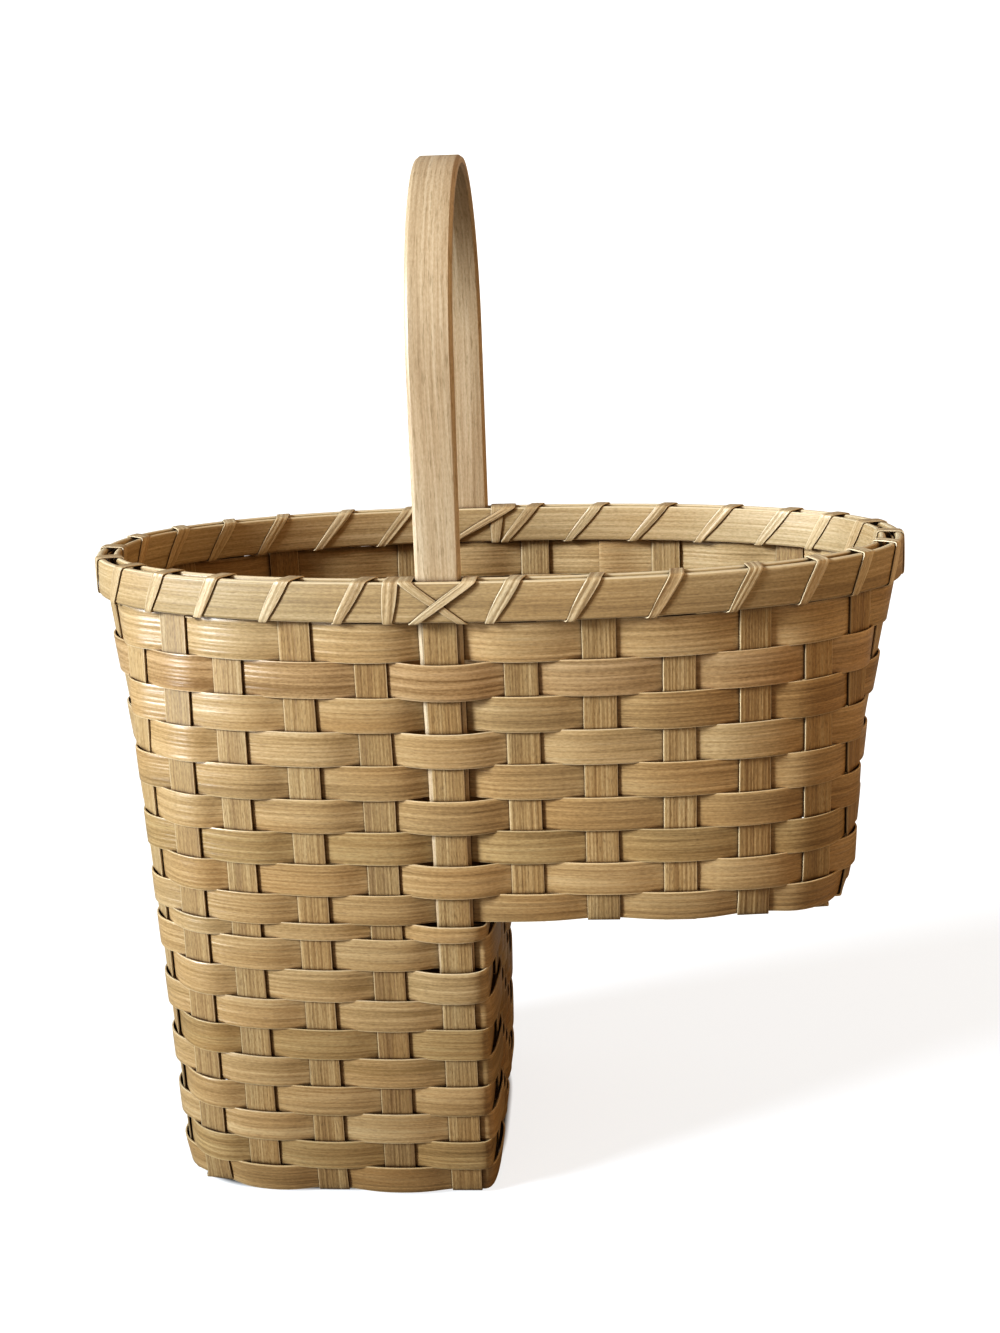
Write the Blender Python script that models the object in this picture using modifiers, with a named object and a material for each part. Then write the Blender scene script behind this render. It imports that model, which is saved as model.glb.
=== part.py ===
"""Stair basket: a woven splint basket with two bins, one a stair lower than the other.

Fifteen flat stakes make both floors and stand up as the walls. Nineteen splints are woven round
them. Two oval hoops clamp the stakes at the rim, a lashing binds the hoops together, and a bent
strap handle runs down between the hoops into the weave. +X is the upper bin's end, -Y the front.
"""
import math
from collections import namedtuple

import bmesh
import bpy
from mathutils import Vector

# Overall sizes, in metres
RIM_LENGTH = 0.4850
RIM_WIDTH = 0.2450
RIM_HEIGHT = 0.3890
STEP_RISE = 0.1800
HANDLE_HEIGHT = 0.6130
FIT_GAP = 0.0003
WELD_DISTANCE = 0.000003

# The rim is nearly an ellipse, and the floors are nearly rectangles
RIM_POWER = 2.2
WAIST_POWER = 3.6
UPPER_FLOOR_POWER = 4.1
LOWER_FLOOR_POWER = 4.9

# Walls: how far the middle of the stakes lies inside the rim's outer face, at three levels
WAIST_INSET_LEFT = 0.0210
WAIST_INSET_RIGHT = 0.0245
WAIST_INSET_SIDE = 0.0170
UPPER_FOOT_INSET_LEFT = 0.0285
UPPER_FOOT_INSET_RIGHT = 0.0305
UPPER_FOOT_INSET_SIDE = 0.0200
LOWER_FOOT_INSET_LEFT = 0.0355
LOWER_FOOT_INSET_SIDE = 0.0250
RISER_TOP = 0.0040
RISER_FOOT = 0.0060
CORNER_CUT = 0.0040

# Stakes
SPREAD_STEPS = 60
STAKE_WIDTH = 0.0186
STAKE_THICKNESS = 0.0012
LEFT_STAKE_INSET = 0.0257
RIGHT_STAKE_INSET = 0.0271
RISER_TO_HANDLE_STAKE = 0.0206
RISER_TO_UPPER_STAKE = 0.0227
LOWER_STAKE_SHARES = (0.000, 0.210, 0.474, 0.744, 1.000)
UPPER_STAKE_SHARES = (0.000, 0.260, 0.525, 0.780, 1.000)
LONG_STAKE_SHARES = (-0.564, -0.282, 0.000, 0.282, 0.564)
STAKE_TOP_DROP = 0.0020
FOOT_RISE = 0.0210
FOOT_LEAN = math.radians(10)
RISER_LEAN = math.radians(9)
FOOT_CLEARANCE = 0.0011
TOE_RUN = 0.0025

# Woven splints
SPLINT_THICKNESS = 0.0012
WEAVE_GAP = 0.0006
ROW_GAP = 0.0008
UPPER_ROWS = 8
LOWER_ROWS = 8
ROW_GRADE = 0.00025
STEP_ROW_LIFT = 0.0027
NARROW_ROW_PITCH = 0.0097
FLAT_MARGIN = 0.0008
WAIST_ROW = 4

# Rim hoops
HOOP_HEIGHT = 0.0226
OUTER_HOOP_THICKNESS = 0.0048
INNER_HOOP_THICKNESS = 0.0040
HOOP_CHAMFER = 0.0011
HOOP_EDGE_ANGLE = math.radians(60)
HOOP_STATIONS = 64
STAKE_SEAT_GAP = 0.0010
LASH_SLOT = 0.0027

# Handle
HANDLE_WIDTH = 0.0254
HANDLE_RIM_WIDTH = 0.0250
HANDLE_THICKNESS = 0.0060
HANDLE_ARCH_INSET = 0.0095
HANDLE_CHAMFER = 0.0030
HANDLE_CHAMFER_DEPTH = 0.0018
TAIL_THICKNESS = 0.0025
TAIL_END_THICKNESS = 0.0014
TAIL_END_WIDTH = 0.0205
TAIL_LENGTH = 0.2280
NOTCH_DROP = 0.0020
NOTCH_STAKE_GAP = 0.0020
ARCH_STATIONS = 24

# Lashing
LASH_WIDTH = 0.0078
LASH_THICKNESS = 0.0008
LASH_GAP = 0.0005
LASH_STAKE_GAP = 0.0006

# Colours, and the roughness of each
STAKE_FINISH = ((0.60, 0.44, 0.26), 0.55)
SPLINT_FINISH = ((0.66, 0.49, 0.29), 0.45)
HOOP_FINISH = ((0.70, 0.55, 0.34), 0.50)
HANDLE_FINISH = ((0.66, 0.50, 0.31), 0.50)
LASH_FINISH = ((0.72, 0.58, 0.38), 0.50)

UP = Vector((0.0, 0.0, 1.0))
ALONG = Vector((1.0, 0.0, 0.0))
ACROSS = Vector((0.0, 1.0, 0.0))

LOWER_STAKES = len(LOWER_STAKE_SHARES)
LONG_STAKES = len(LONG_STAKE_SHARES)

# Heights of the joins between rows, worked down from the rim and up from the floors
RIM_BOTTOM = RIM_HEIGHT - HOOP_HEIGHT
WALL_TOP = RIM_BOTTOM - LASH_SLOT
UPPER_FOOT = STEP_RISE + FOOT_RISE
STEP_ROW_BOTTOM = STEP_RISE + STEP_ROW_LIFT
NARROW_ROW_BOTTOM = STEP_ROW_BOTTOM - NARROW_ROW_PITCH
STEP_ROW = UPPER_ROWS + 1
NARROW_ROW = STEP_ROW + 1
FOOT_ROW = NARROW_ROW + LOWER_ROWS + 1


def graded(top, bottom, rows):
    """Heights below each of several rows, a little wider at the top than at the bottom."""
    mean = (top - bottom) / rows
    heights = []
    height = top
    for row in range(rows):
        height -= mean + ROW_GRADE * ((rows - 1) / 2 - row)
        heights.append(height)
    return heights


JOINS = [WALL_TOP] + graded(WALL_TOP, UPPER_FOOT, UPPER_ROWS) + [STEP_ROW_BOTTOM, NARROW_ROW_BOTTOM]
JOINS += graded(NARROW_ROW_BOTTOM, FOOT_RISE, LOWER_ROWS)
WAIST = JOINS[WAIST_ROW]

# Both floors are a plain weave, one stake over the other
LAYER = (STAKE_THICKNESS + FIT_GAP) / 2
FLOOR_MIDDLE = LAYER + STAKE_THICKNESS / 2
FOOT_BOTTOM = FLOOR_MIDDLE + FOOT_CLEARANCE
HALF_FLAT = STAKE_WIDTH / 2 + FLAT_MARGIN
WEAVE_OFFSET = STAKE_THICKNESS / 2 + WEAVE_GAP + SPLINT_THICKNESS / 2

# Depths inside the rim's outer face
STAKE_DEPTH = OUTER_HOOP_THICKNESS + STAKE_SEAT_GAP + STAKE_THICKNESS / 2
TAIL_OUTER_DEPTH = STAKE_DEPTH + STAKE_THICKNESS / 2 + FIT_GAP
TAIL_INNER_DEPTH = TAIL_OUTER_DEPTH + TAIL_THICKNESS
INNER_HOOP_DEPTH = TAIL_INNER_DEPTH + FIT_GAP
RIM_DEPTH = INNER_HOOP_DEPTH + INNER_HOOP_THICKNESS
TAIL_END = RIM_BOTTOM - TAIL_LENGTH


def clear_scene():
    for item in list(bpy.data.objects):
        bpy.data.objects.remove(item, do_unlink=True)


def make_collection(name):
    collection = bpy.data.collections.new(name)
    bpy.context.scene.collection.children.link(collection)
    return collection


def add_object(name, mesh, collection, finish):
    """An object with a plain wood material of its own."""
    colour, roughness = finish
    material = bpy.data.materials.new(name)
    material.use_nodes = True
    shader = material.node_tree.nodes["Principled BSDF"]
    shader.inputs["Base Color"].default_value = (*colour, 1.0)
    shader.inputs["Roughness"].default_value = roughness
    shader.inputs["Metallic"].default_value = 0.0
    mesh.materials.append(material)
    item = bpy.data.objects.new(name, mesh)
    collection.objects.link(item)
    return item


def add_strip(name, stations, thickness, collection, finish, closed=False):
    """A splint: a grid laid on its stations, which are pairs of points, then made solid."""
    runs = len(stations) if closed else len(stations) - 1
    bm = bmesh.new()
    bmesh.ops.create_grid(bm, x_segments=1, y_segments=runs, size=1.0)
    for vertex in bm.verts:
        station = round((vertex.co.y + 1) / 2 * runs) % len(stations)
        side = round((vertex.co.x + 1) / 2)
        vertex.co = stations[station][side]
    if closed:
        bmesh.ops.remove_doubles(bm, verts=bm.verts, dist=WELD_DISTANCE)
    mesh = bpy.data.meshes.new(name)
    bm.to_mesh(mesh)
    bm.free()
    item = add_object(name, mesh, collection, finish)
    shell = item.modifiers.new("Thickness", "SOLIDIFY")
    shell.thickness = thickness
    shell.offset = 0.0
    shell.use_even_offset = True
    return item


def signed_power(value, power):
    return math.copysign(abs(value) ** power, value)


class Outline:
    """A level oval, flatter along its sides the higher its power."""

    def __init__(self, left, right, half_width, power):
        self.centre = (right - left) / 2
        self.half_length = (right + left) / 2
        self.half_width = half_width
        self.power = power

    def point(self, angle):
        x = self.centre + self.half_length * signed_power(math.cos(angle), 2 / self.power)
        y = self.half_width * signed_power(math.sin(angle), 2 / self.power)
        return Vector((x, y, 0.0))

    def angle_at(self, x, y):
        along = signed_power((x - self.centre) / self.half_length, self.power / 2)
        across = signed_power(y / self.half_width, self.power / 2)
        return math.atan2(across, along)

    def side_point(self, x, side):
        """The point of the front (side -1) or back (side 1) wall that lies at x."""
        reach = abs((x - self.centre) / self.half_length)
        y = side * self.half_width * (1 - reach ** self.power) ** (1 / self.power)
        return Vector((x, y, 0.0))

    def end_point(self, y, side):
        """The point of the left (side -1) or right (side 1) wall that lies at y."""
        reach = abs(y / self.half_width)
        x = self.centre + side * self.half_length * (1 - reach ** self.power) ** (1 / self.power)
        return Vector((x, y, 0.0))

    def heading(self, point):
        """The direction of the wall at a point of it, going round with the front first."""
        along = abs((point.x - self.centre) / self.half_length) ** (self.power - 1)
        across = abs(point.y / self.half_width) ** (self.power - 1)
        outward = Vector((math.copysign(along / self.half_length, point.x - self.centre),
                          math.copysign(across / self.half_width, point.y), 0.0))
        return UP.cross(outward).normalized()

    def spread(self, start, end, count):
        """Points evenly spaced along the wall between two of its points, without those two."""
        first = self.angle_at(start.x, start.y)
        last = self.angle_at(end.x, end.y)
        if last < first:
            last += math.tau
        steps = SPREAD_STEPS * (count + 1)
        points = [self.point(first + (last - first) * step / steps) for step in range(steps + 1)]
        lengths = [0.0]
        for before, after in zip(points, points[1:]):
            lengths.append(lengths[-1] + (after - before).length)
        places = []
        for place in range(1, count + 1):
            wanted = lengths[-1] * place / (count + 1)
            step = next(i for i, length in enumerate(lengths) if length >= wanted)
            share = (wanted - lengths[step - 1]) / (lengths[step] - lengths[step - 1])
            places.append(points[step - 1].lerp(points[step], share))
        return places


def inset_outline(left, right, side, power):
    """An oval that lies inside the rim's outer face by these amounts."""
    return Outline(RIM_LENGTH / 2 - left, RIM_LENGTH / 2 - right, RIM_WIDTH / 2 - side, power)


RIM = inset_outline(0.0, 0.0, 0.0, RIM_POWER)
SEAT = inset_outline(STAKE_DEPTH, STAKE_DEPTH, STAKE_DEPTH, RIM_POWER)
WAIST_OUTLINE = inset_outline(WAIST_INSET_LEFT, WAIST_INSET_RIGHT, WAIST_INSET_SIDE, WAIST_POWER)
UPPER_OUTLINE = inset_outline(UPPER_FOOT_INSET_LEFT, UPPER_FOOT_INSET_RIGHT, UPPER_FOOT_INSET_SIDE,
                              UPPER_FLOOR_POWER)
LOWER_OUTLINE = inset_outline(LOWER_FOOT_INSET_LEFT, UPPER_FOOT_INSET_RIGHT, LOWER_FOOT_INSET_SIDE,
                              LOWER_FLOOR_POWER)


Level = namedtuple("Level", "height centre heading")


class Post:
    """One stake's run up one wall, kept as levels from the top down to its bend into the floor."""

    def __init__(self, levels, floor, lean):
        self.floor = floor
        self.top, self.foot = levels[0], levels[-1]
        bend_height = floor + FOOT_BOTTOM
        inward = UP.cross(self.foot.heading).normalized()
        inset = (self.foot.height - bend_height) * math.tan(lean)
        self.bend = Level(bend_height, self.foot.centre + inward * inset, self.foot.heading)
        self.levels = levels + [self.bend]

    def at(self, height):
        """Centre, heading and outward direction of the stake at a height."""
        for upper, lower in zip(self.levels, self.levels[1:]):
            if height >= lower.height:
                break
        share = (upper.height - height) / (upper.height - lower.height)
        centre = upper.centre.lerp(lower.centre, share)
        heading = upper.heading.lerp(lower.heading, share).normalized()
        rise = upper.centre - lower.centre + UP * (upper.height - lower.height)
        outward = heading.cross(rise).normalized()
        return centre + UP * height, heading, outward

    def row_edges(self, row):
        """Heights of a row's top and bottom edges at this stake."""
        top = min(JOINS[row - 1], self.top.height - FOOT_CLEARANCE) - ROW_GAP / 2
        if top <= self.foot.height:
            return top, self.bend.height + FOOT_CLEARANCE
        return top, JOINS[row] + ROW_GAP / 2


def wall_post(places, floor):
    """The post at one place on each outline, from the rim down to its floor."""
    rim, waist, foot = places
    foot_outline, foot_height = (LOWER_OUTLINE, FOOT_RISE) if floor == 0.0 else (UPPER_OUTLINE, UPPER_FOOT)
    rim_heading, foot_heading = SEAT.heading(rim), foot_outline.heading(foot)
    waist_share = (RIM_BOTTOM - WAIST) / (RIM_BOTTOM - foot_height)
    waist_heading = rim_heading.lerp(foot_heading, waist_share).normalized()
    levels = [Level(RIM_HEIGHT, rim, rim_heading),
              Level(RIM_BOTTOM, rim, rim_heading),
              Level(WAIST, waist, waist_heading),
              Level(foot_height, foot, foot_heading)]
    return Post(levels, floor, FOOT_LEAN)


def long_stake_y(number):
    return LONG_STAKE_SHARES[number] * LOWER_OUTLINE.half_width


def cross_stake_places():
    """Where the cross stakes stand along the basket, on each side of the riser."""
    left = LOWER_OUTLINE.centre - LOWER_OUTLINE.half_length + LEFT_STAKE_INSET
    right = UPPER_OUTLINE.centre + UPPER_OUTLINE.half_length - RIGHT_STAKE_INSET
    handle_stake = -RISER_TOP - RISER_TO_HANDLE_STAKE
    upper_stake = -RISER_TOP + RISER_TO_UPPER_STAKE
    places = [left + (handle_stake - left) * share for share in LOWER_STAKE_SHARES]
    return places + [upper_stake + (right - upper_stake) * share for share in UPPER_STAKE_SHARES]


def end_posts(side, before, after):
    """The posts of one end wall, spread between the last posts of the walls before and after it."""
    outline, floor = (LOWER_OUTLINE, 0.0) if side < 0 else (UPPER_OUTLINE, STEP_RISE)
    rims = SEAT.spread(before.at(RIM_HEIGHT)[0], after.at(RIM_HEIGHT)[0], LONG_STAKES)
    waists = WAIST_OUTLINE.spread(before.at(WAIST)[0], after.at(WAIST)[0], LONG_STAKES)
    feet = [outline.end_point(side * long_stake_y(number), side) for number in range(LONG_STAKES)]
    return [wall_post(places, floor) for places in zip(rims, waists, feet)]


def make_posts():
    """All wall posts in order round the basket from the front left, then those of the riser."""
    front, back = [], []
    for number, x in enumerate(cross_stake_places()):
        outline, floor = (LOWER_OUTLINE, 0.0) if number < LOWER_STAKES else (UPPER_OUTLINE, STEP_RISE)
        for side, posts in ((-1, front), (1, back)):
            places = [oval.side_point(x, side) for oval in (SEAT, WAIST_OUTLINE, outline)]
            posts.append(wall_post(places, floor))
    back.reverse()
    right = end_posts(1, front[-1], back[0])
    left = end_posts(-1, back[-1], front[0])
    riser = []
    for number in range(LONG_STAKES):
        top = Vector((-RISER_TOP, long_stake_y(number), 0.0))
        foot = Vector((-RISER_FOOT, long_stake_y(number), 0.0))
        levels = [Level(STEP_RISE, top, ACROSS), Level(FOOT_RISE, foot, ACROSS)]
        riser.append(Post(levels, 0.0, RISER_LEAN))
    return front, right, back, left, riser


FRONT, RIGHT, BACK, LEFT, RISER = make_posts()
FULL_RING = FRONT + RIGHT + BACK + LEFT
LOWER_RING = FRONT[:LOWER_STAKES] + RISER + BACK[-LOWER_STAKES:] + LEFT
HANDLE_FRONT = FRONT[LOWER_STAKES - 1]
HANDLE_BACK = BACK[-LOWER_STAKES]


# Rows whose joins the stakes' walls have a station at
UPPER_WALL_ROWS = list(range(UPPER_ROWS))
LOWER_WALL_ROWS = list(range(WAIST_ROW)) + list(range(WAIST_ROW, FOOT_ROW - 1, 2))


def edge_pair(centre, heading):
    return centre - heading * STAKE_WIDTH / 2, centre + heading * STAKE_WIDTH / 2


def wall_stations(post, width_direction, rows):
    """Edge pairs up one wall, from the bend to the top, at the joins that are given."""
    notched = post in (HANDLE_FRONT, HANDLE_BACK)
    top = RIM_HEIGHT - (NOTCH_DROP + NOTCH_STAKE_GAP if notched else STAKE_TOP_DROP)
    heights = [post.bend.height, post.foot.height] + [JOINS[row] for row in reversed(rows)]
    stations = []
    for height in heights + [RIM_BOTTOM, top]:
        centre, heading, _ = post.at(height)
        stations.append(edge_pair(centre, heading if heading.dot(width_direction) > 0 else -heading))
    return stations


def floor_height(floor, cross, long, of_cross_stake):
    """Height of a stake where the cross stake and the long stake of these numbers meet."""
    cross_is_over = (cross + long) % 2 == 0
    return floor + FLOOR_MIDDLE + (LAYER if cross_is_over == of_cross_stake else -LAYER)


def with_toes(start, flats, end):
    """The flat stretches of a floor run, carried level to its two bends."""
    return [(start, flats[0][1])] + flats + [(end, flats[-1][1])]


def cross_stake_stations(number):
    """A stake that goes down the front wall, across a floor and up the back wall."""
    front, back = FRONT[number], BACK[-1 - number]
    rows = LOWER_WALL_ROWS if number < LOWER_STAKES else UPPER_WALL_ROWS
    flats = []
    for long in range(LONG_STAKES):
        z = floor_height(front.floor, number, long, True)
        flats += [(long_stake_y(long) - HALF_FLAT, z), (long_stake_y(long) + HALF_FLAT, z)]
    flats = with_toes(front.bend.centre.y + TOE_RUN, flats, back.bend.centre.y - TOE_RUN)
    floor = [edge_pair(Vector((front.foot.centre.x, y, z)), ALONG) for y, z in flats]
    return wall_stations(front, ALONG, rows)[::-1] + floor + wall_stations(back, ALONG, rows)


def long_floor(number, crosses, start, end):
    """A long stake's run along one floor, through the cross stakes of these numbers."""
    flats = []
    for cross in crosses:
        x = FRONT[cross].foot.centre.x
        z = floor_height(FRONT[cross].floor, cross, number, False)
        flats += [(x - HALF_FLAT, z), (x + HALF_FLAT, z)]
    y = long_stake_y(number)
    return [edge_pair(Vector((x, y, z)), ACROSS) for x, z in with_toes(start, flats, end)]


def long_stake_stations(number):
    """A stake down the left wall, along the lower floor, up the riser, and on to the right wall."""
    left, riser, right = LEFT[-1 - number], RISER[number], RIGHT[number]
    bend = FOOT_CLEARANCE + STAKE_THICKNESS
    nose = [(riser.top.centre.x, STEP_RISE - FOOT_CLEARANCE),
            (riser.top.centre.x + bend / 2, STEP_RISE + FLOOR_MIDDLE / 2)]
    lower_floor = long_floor(number, range(LOWER_STAKES), left.bend.centre.x + TOE_RUN,
                             riser.bend.centre.x - TOE_RUN)
    upper_floor = long_floor(number, range(LOWER_STAKES, len(FRONT)), riser.top.centre.x + 2 * bend,
                             right.bend.centre.x - TOE_RUN)
    climb = [edge_pair(riser.at(height)[0], ACROSS) for height in (FOOT_BOTTOM, FOOT_RISE)]
    climb += [edge_pair(Vector((x, long_stake_y(number), z)), ACROSS) for x, z in nose]
    return (wall_stations(left, ACROSS, LOWER_WALL_ROWS)[::-1] + lower_floor + climb + upper_floor
            + wall_stations(right, ACROSS, UPPER_WALL_ROWS))


def add_stakes(collection):
    for number in range(len(FRONT)):
        add_strip(f"cross_stake_{number + 1:02d}", cross_stake_stations(number), STAKE_THICKNESS,
                  collection, STAKE_FINISH)
    for number in range(LONG_STAKES):
        add_strip(f"long_stake_{number + 1}", long_stake_stations(number), STAKE_THICKNESS,
                  collection, STAKE_FINISH)


def tail_thickness(height):
    """Thickness of the handle's tail, which thins towards its end."""
    share = min(max((RIM_BOTTOM - height) / TAIL_LENGTH, 0.0), 1.0)
    return TAIL_THICKNESS + (TAIL_END_THICKNESS - TAIL_THICKNESS) * share


def tail_width(height):
    share = min(max((RIM_BOTTOM - height) / TAIL_LENGTH, 0.0), 1.0)
    return HANDLE_RIM_WIDTH + (TAIL_END_WIDTH - HANDLE_RIM_WIDTH) * share


def splint_pass(post, row, place):
    """How far a splint lies outside a stake, and how wide it stays flat there."""
    top, bottom = post.row_edges(row)
    if (row + place) % 2 == 0:
        return WEAVE_OFFSET, HALF_FLAT
    if post in (HANDLE_FRONT, HANDLE_BACK) and top > TAIL_END:
        tail = tail_thickness(top) + FIT_GAP
        return -WEAVE_OFFSET - tail, max(HALF_FLAT, tail_width(top) / 2 + FLAT_MARGIN)
    return -WEAVE_OFFSET, HALF_FLAT


def corner_stations(row, first, second):
    """Where a splint turns between the front or back wall and the riser, with its corner cut off."""
    wall, riser = (second, first) if first in RISER else (first, second)
    on_wall, on_riser = [], []
    for edge in (0, 1):
        wall_height, riser_height = wall.row_edges(row)[edge], riser.row_edges(row)[edge]
        height = (wall_height + riser_height) / 2
        x, y = riser.at(riser_height)[0].x, wall.at(wall_height)[0].y
        on_wall.append(Vector((x - CORNER_CUT, y, height)))
        on_riser.append(Vector((x, y - math.copysign(CORNER_CUT, y), height)))
    pairs = [tuple(on_wall), tuple(on_riser)]
    return reversed(pairs) if first in RISER else pairs


def splint_stations(row):
    """Edge pairs of one woven splint, all the way round the ring that it belongs to."""
    ring = FULL_RING if row <= STEP_ROW else LOWER_RING
    stations = []
    for place, post in enumerate(ring):
        offset, half_flat = splint_pass(post, row, place)
        top, bottom = post.row_edges(row)
        upper, upper_heading, upper_out = post.at(top)
        lower, lower_heading, lower_out = post.at(bottom)
        outward = (upper_out + lower_out).normalized()
        for side in (-1, 1):
            stations.append((upper + upper_heading * side * half_flat + outward * offset,
                             lower + lower_heading * side * half_flat + outward * offset))
        following = ring[(place + 1) % len(ring)]
        if (post in RISER) != (following in RISER):
            stations += corner_stations(row, post, following)
    return stations


def add_splints(collection):
    for row in range(1, FOOT_ROW + 1):
        add_strip(f"splint_row_{row:02d}", splint_stations(row), SPLINT_THICKNESS, collection,
                  SPLINT_FINISH, closed=True)


def rim_frame(angle):
    """A point of the rim's outer face and the outward direction there."""
    point = RIM.point(angle)
    outward = RIM.heading(point).cross(UP)
    return point, outward


def add_hoop(name, depth, thickness, collection):
    """An oval band on edge, with its four long edges taken off."""
    stations = []
    for station in range(HOOP_STATIONS):
        point, outward = rim_frame(math.tau * station / HOOP_STATIONS)
        centre = point - outward * (depth + thickness / 2)
        stations.append((centre + UP * RIM_HEIGHT, centre + UP * RIM_BOTTOM))
    hoop = add_strip(name, stations, thickness, collection, HOOP_FINISH, closed=True)
    edges = hoop.modifiers.new("Rounded edges", "BEVEL")
    edges.width = HOOP_CHAMFER
    edges.segments = 1
    edges.limit_method = "ANGLE"
    edges.angle_limit = HOOP_EDGE_ANGLE


def add_hoops(collection):
    add_hoop("outer_rim_hoop", 0.0, OUTER_HOOP_THICKNESS, collection)
    add_hoop("inner_rim_hoop", INNER_HOOP_DEPTH, INNER_HOOP_THICKNESS, collection)


def handle_section(centre, along, outward, width, thickness):
    """A strap's cross-section at one station: a rectangle with its four corners taken off."""
    half_width, half_thickness = width / 2, thickness / 2
    depth = min(HANDLE_CHAMFER_DEPTH, thickness / 3)
    cut = HANDLE_CHAMFER * depth / HANDLE_CHAMFER_DEPTH
    loop = []
    for x_side, y_side in ((1, 1), (1, -1), (-1, -1), (-1, 1)):
        on_edge = along * x_side * half_width + outward * y_side * (half_thickness - depth)
        on_face = along * x_side * (half_width - cut) + outward * y_side * half_thickness
        first, second = (on_face, on_edge) if x_side == y_side else (on_edge, on_face)
        loop += [centre + first, centre + second]
    return loop


def handle_half():
    """Sections of the front half of the handle: tail, notched leg and half of the arch."""
    sections = []
    for height in (TAIL_END, JOINS[STEP_ROW], WAIST, RIM_BOTTOM, RIM_HEIGHT - NOTCH_DROP - FIT_GAP):
        centre, heading, outward = HANDLE_FRONT.at(height)
        if height >= RIM_BOTTOM:
            outward = heading.cross(UP)
        thickness = tail_thickness(height)
        depth = STAKE_THICKNESS / 2 + FIT_GAP + thickness / 2
        sections.append((centre - outward * depth, heading, outward, tail_width(height), thickness))
    leg_thickness = TAIL_INNER_DEPTH - OUTER_HOOP_THICKNESS - FIT_GAP
    depth = TAIL_INNER_DEPTH - STAKE_DEPTH - leg_thickness / 2
    for height in (RIM_HEIGHT - NOTCH_DROP, RIM_HEIGHT):
        centre, heading, _ = HANDLE_FRONT.at(height)
        outward = heading.cross(UP)
        sections.append((centre - outward * depth, heading, outward, HANDLE_RIM_WIDTH, leg_thickness))
    arch = RIM_WIDTH / 2 - HANDLE_ARCH_INSET
    spring = HANDLE_HEIGHT - arch
    radius = arch - HANDLE_THICKNESS / 2
    for station in range(ARCH_STATIONS // 2 + 1):
        angle = math.pi / 2 * station / (ARCH_STATIONS // 2)
        outward = Vector((0.0, -math.cos(angle), math.sin(angle)))
        centre = Vector((HANDLE_FRONT.top.centre.x, 0.0, spring)) + outward * radius
        sections.append((centre, ALONG, outward, HANDLE_WIDTH, HANDLE_THICKNESS))
    return sections


def mirrored(vector):
    return Vector((vector.x, -vector.y, vector.z))


def add_handle(collection):
    """The bent strap: a loft, because its tails, notches and arch have unlike sections."""
    half = handle_half()
    other_half = []
    for centre, along, outward, width, thickness in reversed(half[:-1]):
        other_half.append((mirrored(centre), mirrored(along), mirrored(outward), width, thickness))
    bm = bmesh.new()
    loops = []
    for section in half + other_half:
        loops.append([bm.verts.new(point) for point in handle_section(*section)])
    for before, after in zip(loops, loops[1:]):
        for i in range(len(before)):
            j = (i + 1) % len(before)
            bm.faces.new((before[i], before[j], after[j], after[i]))
    bm.faces.new(loops[0])
    bm.faces.new(list(reversed(loops[-1])))
    bmesh.ops.recalc_face_normals(bm, faces=bm.faces)
    mesh = bpy.data.meshes.new("handle")
    bm.to_mesh(mesh)
    bm.free()
    add_object("handle", mesh, collection, HANDLE_FINISH)


# The lashing's places are counted in stakes: 4.5 is halfway between the fifth and sixth stakes.
# Each pass gives where it crosses the rim's outer bottom, outer top, inner top and inner bottom
# edges, and the layer in which it lies on the outer and inner faces.
WRAP_SHARES = (0.64, 0.94, 1.02, 1.47)
CROSSING_SHARES = (
    ((-0.64, -0.69, -0.69, 0.42), (0, 1)),
    ((0.42, -0.45, -0.45, -0.45), (0, 0)),
    ((-0.45, 0.42, 0.42, 0.65), (1, 0)),
)
FACE_RUNS = 2
ANGLE_STEPS = 4


def lash_passes():
    """Every pass of the lashing in order, with crossed passes at the two handle legs."""
    crossings = (FULL_RING.index(HANDLE_FRONT), FULL_RING.index(HANDLE_BACK))
    passes = []
    for gap in range(len(FULL_RING)):
        if gap + 1 in crossings:
            for places, layers in CROSSING_SHARES:
                passes.append(([gap + 1 + share for share in places], layers))
        else:
            passes.append(([gap + share for share in WRAP_SHARES], (0, 0)))
    return passes


def rim_angle(place):
    """The angle at which the rim faces a place counted in stakes."""
    gap = math.floor(place)
    start, end = [FULL_RING[(gap + step) % len(FULL_RING)].at(RIM_HEIGHT)[0] for step in (0, 1)]
    centre = start.lerp(end, place - gap)
    angle = RIM.angle_at(centre.x, centre.y)
    for _ in range(ANGLE_STEPS):
        point = RIM.point(angle)
        heading = RIM.heading(point)
        point += heading * heading.dot(centre - point)
        angle = RIM.angle_at(point.x, point.y)
    return angle


def slot_place(place):
    """The nearest place where the lashing can cross under the rim, clear of the stakes."""
    gap = math.floor(place)
    ends = [FULL_RING[(gap + step) % len(FULL_RING)].at(RIM_HEIGHT)[0] for step in (0, 1)]
    margin_share = ((STAKE_WIDTH + LASH_WIDTH) / 2 + LASH_STAKE_GAP) / (ends[1] - ends[0]).length
    return gap + min(max(place - gap, margin_share), 1 - margin_share)


def lash_point(place, shift, depth, height):
    point, outward = rim_frame(rim_angle(place))
    along = RIM.heading(point)
    return point + along * shift - outward * depth + UP * height


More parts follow.
